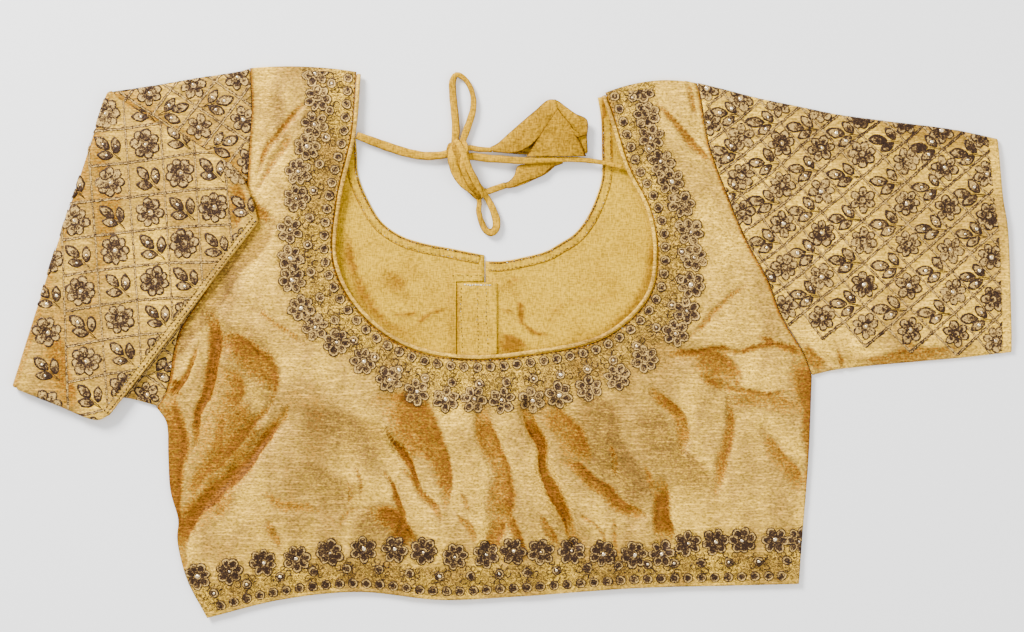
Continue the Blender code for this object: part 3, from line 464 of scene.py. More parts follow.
# Stitched flowers along the neck and the hem, columns: x, y
NECK_FLOWERS = (
    (-141.8, 193.3), (-139.7, 175.3), (-141.8, 155.9), (-146.9, 140.0), (-153.4, 122.0),
    (-154.8, 103.3), (-159.8, 80.3), (-159.1, 60.1), (-157.7, 44.3), (-151.2, 24.1), (-141.1, 10.4),
    (-126.0, -0.4), (-106.6, -14.0), (-87.8, -27.0), (-68.4, -36.4), (-47.5, -41.4), (-27.4, -41.4),
    (-7.2, -42.1), (14.4, -42.1), (33.8, -38.5), (55.4, -33.5), (75.6, -25.6), (95.8, -12.6),
    (117.4, 6.1), (125.3, 22.0), (128.9, 40.7), (131.0, 60.1), (128.2, 78.8), (122.4, 98.3),
    (114.5, 114.8), (107.3, 129.2), (100.1, 146.5), (96.5, 163.8), (93.6, 181.8),
)
HEM_FLOWERS = (
    (-226.1, -168.8), (-203.0, -165.2), (-178.6, -158.8), (-154.8, -155.9), (-131.0, -151.6),
    (-106.6, -149.4), (-84.2, -149.4), (-63.4, -150.8), (-41.0, -154.4), (-18.7, -153.0),
    (0.7, -150.8), (20.9, -150.8), (43.2, -150.8), (65.5, -152.3), (87.8, -153.0), (107.3, -152.3),
    (126.0, -145.1), (146.2, -143.6), (165.6, -142.9), (189.4, -142.9), (206.6, -143.6),
)

# Flowers of the right sleeve, one row for each line of them from shoulder to underarm, columns: x, y
SLEEVE_FLOWERS = (
    ((140.4, 182.5), (141.1, 157.3), (141.8, 129.2), (142.6, 99.7), (143.3, 69.5), (144.0, 39.2)),
    ((164.9, 175.3), (165.0, 147.2), (165.2, 119.2), (165.3, 92.5), (165.5, 63.0), (165.6, 32.8)),
    ((193.0, 171.7), (193.7, 142.9), (194.4, 112.7), (195.1, 84.6), (195.8, 53.6), (196.6, 24.8)),
    ((222.5, 167.4), (222.6, 139.3), (222.8, 108.4), (222.9, 78.1), (223.1, 46.4), (223.2, 16.9)),
    ((251.3, 162.4), (251.9, 135.0), (252.4, 101.9), (253.0, 72.4), (253.6, 40.7), (254.2, 11.2)),
    ((283.0, 158.0), (283.7, 130.0), (284.4, 99.7), (285.1, 70.2), (285.8, 40.0), (286.6, 8.3)),
    ((309.6, 152.3), (311.6, 124.9), (313.6, 96.1), (315.6, 65.9), (317.7, 35.6), (319.7, 5.4)),
    ((339.8, 148.7), (341.6, 120.6), (343.3, 90.4), (345.0, 60.8), (346.8, 30.6), (348.5, 1.1)),
    ((368.6, 144.4), (370.4, 116.3), (372.1, 86.0), (373.8, 56.5), (375.6, 26.3), (377.3, -3.2)),
)

# Cells of the turned sleeve, one row for each line of them.
# Columns: first cell, its centre, last cell, its centre
TURNED_CELLS = (
    (5, (-333.4, 32.8), 7, (-334.1, -19.1)),
    (3, (-313.9, 86.8), 8, (-303.8, -39.2)),
    (1, (-290.2, 139.3), 7, (-280.1, -8.3)),
    (1, (-263.5, 142.2), 6, (-254.9, 18.4)),
    (2, (-238.3, 121.3), 5, (-234.0, 45.0)),
    (2, (-216.0, 123.5), 4, (-212.4, 69.5)),
    (3, (-193.0, 97.6), 4, (-190.1, 72.4)),
)

# Lattice of the sleeve between its armhole and the turn: one flower, and the steps to the next two
INNER_FLOWER = (-229.7, 184.7)
INNER_ALONG = (31.7, 5.8)
INNER_DOWN = (4.3, -30.2)

# Sizes of the needlework
PETAL_RING = 6.2
PETAL_RADIUS = 4.2
STUD_INSET = 8.8
STUD_PITCH = 9.5
STUD_RADIUS = 4.0
RING_INSET = 20.6
RING_PITCH = 19.4
RING_RADIUS = 3.9
HEM_STUD_INSET = 6.2
HEM_RING_INSET = 17.2
NECK_BAND = (4.6, 31.5)
HEM_BAND = (1.6, 24.0)
FLOWER_REACH = 10.4
LEAF_LENGTH = 15.4
LEAF_WIDTH = 8.8

EDGE_STEP = 0.05

HAND_WANDER = (0.32, 0.16)

LATTICE_HALF = 1.3

CUFF_PLAIN = 6.5

BEND_SHADE = 0.18

# How a crease is shaded across and along, and how it wanders
SHARP_SIDE = 0.5
SOFT_SIDE = 1.5
EDGE_DARK = 0.3
END_LEFT = 0.25
END_FADE = 0.22
CREASE_BEND = 1.6

CREASE_FRAY = 0.3
CREASE_SHOULDER = 0.4
SMALL_WAVES = 0.5

SEAM_SHADE = 1.5

# Colours
PALE_GOLD = (0.70, 0.415, 0.035, 1.0)
MID_GOLD = (0.33, 0.185, 0.030, 1.0)

# Ochre and deep gold colour the folds: partly the silk's shot colour, partly painted shade
OCHRE = (0.31, 0.140, 0.006, 1.0)
DEEP_GOLD = (0.135, 0.047, 0.004, 1.0)

# Tint that the broad painted shade multiplies the silk by
PAINTED_SHADE_TINT = (0.46, 0.41, 0.50, 1.0)

LINING_LIGHT = (0.56, 0.325, 0.007, 1.0)

# Dark end of the lining and facings: random browning and painted shade
LINING_DARK = (0.24, 0.100, 0.004, 1.0)

TIE_LIGHT = (0.50, 0.265, 0.006, 1.0)

# Dark end of the ties: random browning, seam lines and painted shade
TIE_DARK = (0.095, 0.036, 0.003, 1.0)
WORM_BROWN = (0.045, 0.021, 0.007, 1.0)
THREAD_DARK = (0.022, 0.0095, 0.0040, 1.0)
THREAD_MID = (0.075, 0.038, 0.014, 1.0)
THREAD_TAN = (0.50, 0.31, 0.080, 1.0)
STITCH_PALE = (0.8, 0.72, 0.55, 1.0)

# Shot silk: depth of the fold colour, and its weave, slubs, grain and mottling
FOLD_DEPTH = 0.8
DRIFT_GAIN = 1.1
SPECK_GAIN = 5.0
WORM_SCALE = 300.0
CLOUD_SCALE = 30.0
GRAIN_SCALE = 760.0
WEFT_SCALE = 620.0
SLUB_SCALE = 700.0

# Turned hem of the back
HEM_ROLL = 0.5
HEM_ROLL_WIDTH = 2.4

# Rows and columns of the fronts, and how far they lie inside the back
FRONT_INSET = 1.6
FRONT_ROWS = (110, 60)
FRONT_NECK_ROWS = 80
FRONT_COLUMNS = 60

# Rows and columns of the sleeves
SLEEVE_ACROSS = 96
SLEEVE_ALONG = 120
TURNED_ALONG = 60
FOLD_STEPS = 12

# Neck facings, and the flap, tape and band of the centre opening
FACING_TOP = 2.1
FACING_START = 0.8
FACING_END = 7.3
FACING_SLOPE = 0.45
FACING_SHADE = (1.0, 0.6, 0.1, 0.0, 0.0, 0.0, 0.1, 0.3, 0.8)
FACING_WALL = 0.6
FLAP_LEFT = -39.6
FLAP_RIGHT = -10.8
FLAP_TOP = 42.5
STRIP_BOTTOM = -162.7
TAPE_LEFT = -45.0
TAPE_RIGHT = -40.2
BAND_LEFT = -39.0
BAND_RIGHT = -20.2
BAND_TOP = 49.3
BAND_FOOT = 43.3
BAND_CORNER = 3.0
FACING_ENDS = (0.09, 0.985)
STITCH_LIFT = 0.1

# Knot
KNOT_CORE = 0.86


KNOT_WRAPS = (
    ("knot_wrap_long", 0.55, (
        (-41.0, 142.9, 6.6, 1.9), (-42.8, 137.9, 8.4, 2.8), (-42.8, 130.7, 9.6, 3.3),
        (-41.0, 123.5, 9.6, 3.3), (-37.4, 116.3, 8.8, 3.0), (-32.4, 110.9, 7.2, 2.6),
        (-26.6, 106.9, 5.4, 1.9),
    )),
    ("knot_wrap_cross", 0.7, (
        (-40.3, 144.7, 6.4, 1.7), (-37.4, 140.0, 10.0, 2.3), (-34.2, 133.6, 11.6, 2.4),
        (-31.7, 126.4, 11.2, 2.4), (-28.1, 118.4, 9.8, 2.3), (-24.1, 110.5, 7.4, 2.0),
        (-21.2, 104.0, 5.0, 1.6),
    )),
    ("knot_wrap_side", 0.7, (
        (-34.9, 144.4, 5.6, 1.6), (-33.1, 138.6, 9.2, 2.0), (-35.3, 132.1, 11.0, 2.0),
        (-35.3, 124.9, 10.8, 2.0), (-31.7, 116.3, 8.8, 1.9), (-27.4, 109.8, 6.6, 1.6),
    )),
)

UPPER_FLAPS = (
    ("tassel_flap_left", 0.25, (
        (-15.5, 140.2, 4.4), (-10.8, 142.5, 4.8), (-2.9, 149.4, 5.6), (7.9, 158.8, 6.4), (17.3, 166.7, 7.0),
        (25.9, 173.7, 7.4), (31.7, 173.9, 7.4),
    ), (
        (-15.5, 137.4, 4.4), (-10.1, 136.4, 4.8), (-0.7, 135.4, 5.4), (8.6, 137.9, 6.4), (16.6, 143.6, 7.2),
        (25.2, 155.2, 8.0), (33.1, 166.7, 8.4),
    )),
    ("tassel_flap_right", 0.3, (
        (28.8, 174.2, 7.2), (33.1, 173.0, 7.2), (38.9, 168.8, 7.0), (45.8, 163.9, 6.8), (54.0, 159.5, 6.4),
        (54.0, 146.5, 6.2), (54.0, 136.4, 6.0),
    ), (
        (31.7, 169.6, 7.8), (33.1, 166.0, 8.2), (36.7, 160.9, 8.2), (41.0, 156.6, 8.0), (44.6, 150.1, 7.6),
        (47.5, 144.4, 7.2), (49.0, 136.4, 6.6),
    )),
    ("tassel_front", 0.45, (
        (32.9, 167.1, 9.4), (27.4, 159.5, 9.6), (22.3, 151.6, 9.4), (16.6, 142.6, 8.8), (11.5, 134.6, 8.0),
        (10.1, 132.8, 7.8),
    ), (
        (33.0, 167.1, 9.4), (37.4, 161.3, 9.6), (41.8, 156.2, 9.4), (46.4, 148.0, 8.8), (51.1, 139.3, 8.0),
        (53.3, 133.2, 7.4),
    )),
    ("tassel_notch", 0.5, (
        (40.3, 156.2, 9.6), (43.9, 152.3, 9.2), (48.2, 149.8, 8.6), (53.6, 150.1, 7.6),
    ), (
        (45.7, 147.2, 9.4), (47.9, 146.5, 9.0), (50.0, 147.2, 8.4), (53.6, 148.3, 7.6),
    )),
)

LOWER_FLAPS = (
    ("tassel_flap_lower", 0.35, (
        (-6.5, 114.0, 3.6), (-2.2, 115.6, 4.2), (1.4, 119.5, 4.6), (4.3, 126.4, 4.8), (13.0, 128.2, 4.6),
        (25.9, 130.0, 4.4), (36.7, 130.0, 4.0),
    ), (
        (-6.5, 110.8, 3.6), (-0.7, 110.5, 4.0), (7.2, 114.1, 4.2), (15.1, 117.0, 4.2), (22.3, 119.5, 4.2),
        (27.4, 124.6, 4.0), (36.7, 128.1, 3.8),
    )),
)

CORE_SHARE = 0.7
FLAP_POINTS = 80
FLAP_WALL = 1.2

# Stitched forms
ARC_HALF = 2.3
ARC_WIDTH = 0.2

LEAF_POINT = 0.25

SPRIG_LIT = 0.6

# Leaves of a sprig.
# Columns: how far back along the stem, how far aside, swing from the stem, share of full size
SPRIG_LEAVES = ((0.6, 0.0, 0.05, 0.96), (6.6, -0.8, -0.74, 0.86), (5.6, 1.0, 0.66, 0.86))

# Needlework: turned down at the edges, curls round a ring, and tones
TURN_DOWN = 1.6
TURNED_PLAIN = 5.5
# Rows of stitches, columns: distance to the left of the edge, pitch, share sewn, tone, half width
NECK_STITCHES = (-4.3, 3.4, 0.62, 0.05, 0.4)
HEM_STITCHES = (1.8, 3.6, 0.6, 0.5, 0.2)
CUFF_STITCHES = ((-1.8, 2.6, 0.9, 0.0, 0.5), (-5.0, 2.6, 0.9, 0.05, 0.5))
FACING_STITCHES = ((6.2, 3.0, 0.55, 0.2, 0.28), (1.3, 2.4, 1.0, 0.15, 0.42))
FLAP_STITCHES = (-36.4, -24.5, -18.0)
CURLS = 7
NECK_TONE = 0.08
HEM_TONE = -0.36
HEM_RING_TONE = -0.45
SHADED_DEPTH = 0.55
SHADED_REACH = 18.0

SHADED_EDGE = ((252.0, 165.2), (279.4, 155.2), (315.4, 146.5), (344.2, 140.8))

# Studio
WORLD_LIGHT = 1.15
FLOOR_HALF = 3.0
FLOOR_GREY = 0.92
# Lights, columns: name, place in metres, size, power
STUDIO_LIGHTS = (
    ("key_light", (-1.3, 1.5, 1.3), 0.8, 150.0),
    ("fill_light", (1.5, -0.6, 1.8), 1.6, 30.0),
)


def shifted_cuff(upper, cuff, lower, rest, inset):
    """A sleeve's outline without the plain strip along its cuff."""
    return np.vstack(
        [
            smooth_line(upper, 30)[:-1], moved(smooth_line(cuff, 12), inset),
            smooth_line(lower, 20)[::-1][1:], rest,
        ]
    )


def nearest(xy, line):
    """The point of an open line nearest to each point, and how far along the line it is, from 0 to 1."""
    line = np.asarray(line, float)
    flat = xy.reshape(-1, 2)
    best = np.full(len(flat), 1e9)
    found = np.zeros_like(flat)
    along = np.zeros(len(flat))
    for k, (a, b) in enumerate(zip(line[:-1, :2], line[1:, :2])):
        span = b - a
        t = np.clip(((flat - a) @ span) / max(span @ span, 1e-9), 0.0, 1.0)
        place = a + t[:, None] * span
        d = np.linalg.norm(flat - place, axis=1)
        closer = d < best
        best[closer], found[closer] = d[closer], place[closer]
        along[closer] = (k + t[closer]) / (len(line) - 1)
    return found.reshape(xy.shape), along.reshape(xy.shape[:-1])


def ribbon(name, route, finish, sides=20, high=0.5, ripple=0.05, power=0.6):
    """A flat sewn band along a route, columns x, y, z and half width. Its ends are drawn in, and it has seam
    lines and painted shade inside its bends.
    """
    route = np.asarray(route, float)
    along = np.gradient(route[:, :3], axis=0)
    along /= np.linalg.norm(along, axis=1)[:, None]
    side = np.cross(along, (0.0, 0.0, 1.0))
    side /= np.linalg.norm(side, axis=1)[:, None]
    up = np.cross(side, along)
    run = np.concatenate([[0.0], np.cumsum(np.linalg.norm(np.diff(route[:, :3], axis=0), axis=1))])
    turn = np.linspace(0, 2 * np.pi, sides, endpoint=False)
    c, s = np.cos(turn), np.sin(turn)
    wide = np.sign(c) * np.abs(c) ** power
    thick = np.sign(s) * np.abs(s) ** 0.8
    radius = route[:, 3:4] * (1 + ripple * np.sin(run[:, None] / 2.9) * np.cos(run[:, None] / 4.3 + 1.0))
    lift = 1 + 0.12 * np.cos(2 * turn[None] + run[:, None] / 6.0)
    rings = (
        route[:, None, :3] + side[:, None] * (wide * radius)[..., None]
        + up[:, None] * (thick * radius * high * lift)[..., None]
    )
    bend = np.gradient(np.unwrap(np.arctan2(along[:, 1], along[:, 0])), run)[:, None]
    # Painted shade: the inside of each bend is darker, the more so the sharper it bends
    inner = np.clip(-np.sign(bend) * c[None], 0.0, 1.0) * np.clip(np.abs(bend) / BEND_SHADE, 0.0, 1.0)
    seam = 0.75 * np.exp(-((c[None] - 0.93) / 0.10) ** 2) + 0.35 * np.exp(-((c[None] + 0.96) / 0.07) ** 2)
    tone = np.clip(seam + 0.8 * inner ** 2 * np.ones_like(radius), 0.0, 1.2)
    rings = np.concatenate(
        [route[:1, None, :3] + 0 * rings[:1], rings, route[-1:, None, :3] + 0 * rings[-1:]]
    )
    tone = np.concatenate([tone[:1], tone, tone[-1:]])
    return skin(name, rings, finish, closed=True, marks={"colour_and_painted_shade": tone})


def smooth_line(points, steps):
    """Points at even lengths along a smooth curve through the given ones."""
    given = np.array(points, float)
    before = 2 * given[0] - given[1]
    after = 2 * given[-1] - given[-2]
    p = np.vstack([before, given, after])
    knots = np.concatenate([[0.0], np.cumsum(np.sqrt(np.linalg.norm(np.diff(p, axis=0), axis=1)))])
    dense = []
    for i in range(1, len(p) - 2):
        t0, t1, t2, t3 = knots[i - 1:i + 3]
        t = np.linspace(t1, t2, 24, endpoint=False)[:, None]
        a1 = (t1 - t) / (t1 - t0) * p[i - 1] + (t - t0) / (t1 - t0) * p[i]
        a2 = (t2 - t) / (t2 - t1) * p[i] + (t - t1) / (t2 - t1) * p[i + 1]
        a3 = (t3 - t) / (t3 - t2) * p[i + 1] + (t - t2) / (t3 - t2) * p[i + 2]
        b1 = (t2 - t) / (t2 - t0) * a1 + (t - t0) / (t2 - t0) * a2
        b2 = (t3 - t) / (t3 - t1) * a2 + (t - t1) / (t3 - t1) * a3
        dense.append((t2 - t) / (t2 - t1) * b1 + (t - t1) / (t2 - t1) * b2)
    dense = np.vstack(dense + [given[-1:]])
    return resample(dense, np.linspace(0.0, 1.0, steps + 1))


def resample(line, shares):
    """Points of a line at the given shares of its length."""
    line = np.asarray(line, float)
    run = np.concatenate([[0.0], np.cumsum(np.linalg.norm(np.diff(line, axis=0), axis=1))])
    at = np.asarray(shares) * run[-1]
    return np.column_stack([np.interp(at, run, line[:, k]) for k in range(line.shape[1])])


def length_of(line):
    """Length of a line of points."""
    return np.linalg.norm(np.diff(np.asarray(line, float), axis=0), axis=1).sum()


def ease(value):
    """Smooth step from 0 to 1."""
    v = np.clip(value, 0.0, 1.0)
    return v * v * (3 - 2 * v)


def line_distance(xy, line):
    """Distance of each point from an open line."""
    line = np.asarray(line, float)
    best = np.full(xy.shape[:-1], 1e9)
    for a, b in zip(line[:-1], line[1:]):
        span = b - a
        t = np.clip(((xy - a) @ span) / max(span @ span, 1e-9), 0.0, 1.0)
        best = np.minimum(best, np.linalg.norm(xy - (a + t[..., None] * span), axis=-1))
    return best


def inside(xy, loop):
    """Whether each point lies inside a closed outline."""
    x, y = xy[..., 0], xy[..., 1]
    hit = np.zeros(x.shape, bool)
    for a, b in zip(loop, np.roll(loop, -1, axis=0)):
        crosses = (a[1] > y) != (b[1] > y)
        rise = b[1] - a[1] if b[1] != a[1] else 1e-9
        hit ^= crosses & (x < (b[0] - a[0]) * (y - a[1]) / rise + a[0])
    return hit


def moved(line, distance):
    """A plan line moved sideways, to the left of its direction for a positive distance."""
    along = np.gradient(line[:, :2], axis=0)
    along /= np.linalg.norm(along, axis=1)[:, None]
    side = np.column_stack([-along[:, 1], along[:, 0]])
    return line[:, :2] + side * distance


def between(first, second, columns):
    """Grid of plan points on straight lines from each point of one line to its match on the other."""
    share = np.linspace(0.0, 1.0, columns + 1)[None, :, None]
    return first[:, None, :] * (1 - share) + second[:, None, :] * share


def patch(upper, lower, start, end):
    """Plan points of a four-sided panel: rows run along upper and lower, columns from upper to lower."""
    s = np.linspace(0.0, 1.0, len(upper))[:, None, None]
    t = np.linspace(0.0, 1.0, len(start))[None, :, None]
    a, b, c, d = upper[:, None, :], lower[:, None, :], start[None, :, :], end[None, :, :]
    corners = (1 - s) * ((1 - t) * a[:1] + t * b[:1]) + s * ((1 - t) * a[-1:] + t * b[-1:])
    return (1 - t) * a + t * b + (1 - s) * c + s * d - corners


def lifted(xy, z):
    """Plan points with their heights added."""
    return np.concatenate([xy, np.broadcast_to(z, xy.shape[:-1])[..., None]], axis=-1)


def wander(xy, size, seed):
    """Smooth uneven value between about -1 and 1, in hills of the given size."""
    pick = np.random.default_rng(seed)
    total = np.zeros(xy.shape[:-1])
    for _ in range(8):
        turn, phase = pick.uniform(0.0, 2 * np.pi, 2)
        wave = size * pick.uniform(0.6, 1.8)
        total += np.sin((xy[..., 0] * np.cos(turn) + xy[..., 1] * np.sin(turn)) * 2 * np.pi / wave + phase)
    return total / 4.0


NECK_LINE = smooth_line(BACK_NECK, 400)
HEM_LINE = smooth_line(HEM, 120)
OUTER_LINE = np.vstack([
    smooth_line(LEFT_ARMHOLE, 60), smooth_line(LEFT_SIDE, 40), smooth_line(HEM, 60),
    smooth_line(RIGHT_SIDE, 40), smooth_line(RIGHT_ARMHOLE, 60),
])
BACK_LOOP = np.vstack([OUTER_LINE, NECK_LINE[::-1]])
COVER_LOOP = np.vstack([
    smooth_line(TURNED_UPPER, 20), smooth_line(TURNED_CUFF, 10), smooth_line(TURNED_LOWER, 10)[::-1],
    smooth_line(FOLD_LINE, 10)[::-1],
])
INNER_LOOP = np.vstack([
    smooth_line(LOWER_UPPER, 20), smooth_line(FOLD_LINE, 10), smooth_line(LOWER_LOWER, 10)[::-1],
    smooth_line(LEFT_ARMHOLE, 40)[::-1],
])


def back_underside(xy):
    """Height of the back panel's underside above the surface, as the solid has it."""
    shoulders = np.minimum(
        line_distance(xy, np.array([OUTER_LINE[0], NECK_LINE[0]])),
        line_distance(xy, np.array([OUTER_LINE[-1], NECK_LINE[-1]])),
    )
    edge = np.minimum(line_distance(xy, OUTER_LINE), shoulders)
    neck = line_distance(xy, NECK_LINE)
    cover = np.where(inside(xy, COVER_LOOP), 0.0, line_distance(xy, COVER_LOOP))
    free = ease(cover / COVER_EDGE)
    base = EDGE_UNDERSIDE + (BODY_UNDERSIDE - EDGE_UNDERSIDE) * ease(edge / EDGE_RISE)
    puff = PUFF_HEIGHT * ease(edge / PUFF_EDGE) * free
    puff *= NECK_PUFF + (1.0 - NECK_PUFF) * ease(neck / PUFF_NECK)
    low = np.zeros(puff.shape)
    for start, end, half_width, height in BACK_FOLDS:
        d = line_distance(xy, np.array([start, end], float))
        low += height * np.exp(-(d / half_width) ** 2) * free
    return base + np.maximum(puff + low, 0.0), free


def creases(xy, table):
    """Height of the creases in a table, and how deep their colour is: painted shade, which on the silk is
    partly its own shot colour.

    One side of a crease is sharp and dark and the other fades; a negative softness changes the sides.
    """
    bent = xy + CREASE_BEND * np.stack([wander(xy, 26.0, 1), wander(xy, 26.0, 2)], axis=-1)
    bent += CREASE_FRAY * np.stack([wander(xy, 5.0, 11), wander(xy, 5.0, 12)], axis=-1)
    height = np.zeros(xy.shape[:-1])
    colour = np.zeros(xy.shape[:-1])
    for rise, depth, soft, path in table:
        line = smooth_line(path, 4 * len(path))
        ratio = np.full(xy.shape[:-1], 1e9)
        side = np.zeros(xy.shape[:-1])
        along = np.zeros(xy.shape[:-1])
        for k, (a, b) in enumerate(zip(line[:-1], line[1:])):
            span = (b - a)[:2]
            t = np.clip(((bent - a[:2]) @ span) / max(span @ span, 1e-9), 0.0, 1.0)
            wide = a[2] + t * (b[2] - a[2])
            away = bent - (a[:2] + t[..., None] * span)
            found = np.linalg.norm(away, axis=-1) / wide
            closer = found < ratio
            ratio = np.where(closer, found, ratio)
            side = np.where(closer, np.sign(span[0] * away[..., 1] - span[1] * away[..., 0]), side)
            along = np.where(closer, (k + t) / (len(line) - 1), along)
        sharp = side * np.sign(soft) > 0
        fade = np.where(sharp, SHARP_SIDE, SOFT_SIDE) * abs(soft)
        # Painted shade: a dark rim along the sharp side of each crease
        rim = EDGE_DARK * sharp * np.exp(-((ratio - 0.8) / 0.3) ** 2)
        height += rise * (np.exp(-(ratio / 1.1) ** 2) - CREASE_SHOULDER * np.exp(-(ratio - 2.0) ** 2))
        ends = END_LEFT + (1.0 - END_LEFT) * ease(np.minimum(along, 1.0 - along) / END_FADE)
        colour = np.maximum(colour, ends * depth * (1.0 + rim) * ease((1 + fade - ratio) / (2 * fade)))
    return height, colour


def back_top(xy):
    """Top of the back panel, and how deep its colour is."""
    under, free = back_underside(xy)
    height, colour = creases(xy, BACK_CREASES)
    height += SMALL_WAVES * (wander(xy, 46.0, 3) + 0.5 * wander(xy, 17.0, 4)) * free
    return np.maximum(under + height * np.maximum(free, 0.2), LOWEST_BACK) + WALL_BACK, colour


def rounded_edge(xy, z, low, lines):
    """A sheet's top, brought down round its long edges as the cloth is."""
    edge = np.minimum(line_distance(xy, lines[0]), line_distance(xy, lines[1]))
    round_off = np.sqrt(1.0 - (1.0 - np.clip(edge / EDGE_ROUND, 0.0, 1.0)) ** 2)
    return (z + low) / 2 + (z - low) / 2 * round_off


def sleeve_work_height(xy):
    """Height of the right sleeve under its needlework, turned down at both edges."""
    return rounded_edge(
        xy, sleeve_top(xy)[0], 0.0, (smooth_line(SLEEVE_UPPER, 30), smooth_line(SLEEVE_LOWER, 20)),
    )


def turned_work_height(xy):
    """Height of the turned sleeve under its needlework, turned down at both edges."""
    return rounded_edge(
        xy, turned_top(xy)[0], TURNED_UNDERSIDE,
        (smooth_line(TURNED_UPPER, 30), smooth_line(TURNED_LOWER, 20)))


def front_top(xy):
    """Height of the fronts, and the painted shade along their creases."""
    height, colour = creases(xy, FRONT_CREASES)
    return WALL_FRONT + np.maximum(height, 0.0), colour


def sleeve_top(xy):
    """Height of the right sleeve, lower toward its two edges, and its fold colour, partly shot colour and
    partly painted shade.
    """
    edge = np.minimum(
        line_distance(xy, smooth_line(SLEEVE_UPPER, 30)), line_distance(xy, smooth_line(SLEEVE_LOWER, 20)),
    )
    full = SLEEVE_EDGE_HEIGHT + (SLEEVE_HEIGHT - SLEEVE_EDGE_HEIGHT) * ease(edge / SLEEVE_EDGE)
    height, colour = creases(xy, SLEEVE_CREASES)
    height += 0.35 * wander(xy, 40.0, 5) * ease(edge / 10.0)
    return full + height, colour


def turned_top(xy):
    """Height of the turned sleeve, and its fold colour, partly shot colour and partly painted shade."""
    height, colour = creases(xy, TURNED_CREASES)
    height += 0.3 * wander(xy, 40.0, 6)
    return TURNED_UNDERSIDE + WALL_TURNED + height, colour


def inner_top(xy):
    """Height of the left sleeve's lower layer, and the painted shade on it beside the edge of the turned
    layer.
    """
    # Painted shade beside the edge of the turned layer lying over it
    colour = 0.45 * np.exp(-line_distance(xy, smooth_line(TURNED_UPPER, 20)) / 6.0)
    return WALL_TURNED + 0.0 * xy[..., 0], colour


def add_node(tree, kind, inputs=None, **settings):
    """Shader node with its settings, and its inputs as values or links."""
    made = tree.nodes.new("ShaderNode" + kind)
    for key, value in settings.items():
        setattr(made, key, value)
    for socket, value in (inputs or {}).items():
        if isinstance(value, bpy.types.NodeSocket):
            tree.links.new(value, made.inputs[socket])
        else:
            made.inputs[socket].default_value = value
    return made


def ramp(tree, value, stops):
    """Colours blended along a value, columns: place, colour."""
    made = add_node(tree, "ValToRGB", {"Fac": value})
    made.color_ramp.elements.remove(made.color_ramp.elements[1])
    for k, (place, tint) in enumerate(stops):
        stop = made.color_ramp.elements[0] if k == 0 else made.color_ramp.elements.new(place)
        stop.position = place
        stop.color = tint
    return made.outputs["Color"]


def grey(level):
    """Opaque grey."""
    return (level, level, level, 1.0)


def blend_colours(tree, share, first, second, way="MIX"):
    """Mix of two colours, each a value or a link."""
    made = add_node(tree, "Mix", data_type="RGBA", blend_type=way)
    for socket, value in ((0, share), (6, first), (7, second)):
        if isinstance(value, bpy.types.NodeSocket):
            tree.links.new(value, made.inputs[socket])
        else:
            made.inputs[socket].default_value = value
    return made.outputs[2]


def maths(tree, operation, first, second=0.0, clamp=False):
    """Result of a maths node."""
    made = add_node(tree, "Math", {0: first, 1: second}, operation=operation)
    made.use_clamp = clamp
    return made.outputs[0]


def finish_base(name, roughness, metallic=0.0, gloss=0.0):
    """A new finish: its node tree, its shader and the coordinates on the piece."""
    made = bpy.data.materials.new(name)
    made.use_nodes = True
    tree = made.node_tree
    shader = tree.nodes["Principled BSDF"]
    shader.inputs["Roughness"].default_value = roughness
    shader.inputs["Metallic"].default_value = metallic
    shader.inputs["Specular IOR Level"].default_value = gloss
    return made, tree, shader, add_node(tree, "TexCoord").outputs["Object"]


def noise(tree, place, scale, stretch=(1.0, 1.0, 1.0), detail=2.0, distortion=0.0, turn=0.0):
    """Noise over a place, stretched and turned."""
    made = add_node(tree, "Mapping", {"Vector": place, "Scale": stretch, "Rotation": (0.0, 0.0, turn)})
    found = add_node(tree, "TexNoise", {
        "Vector": made.outputs[0], "Scale": scale, "Detail": detail, "Distortion": distortion,
    })
    return found.outputs["Fac"]


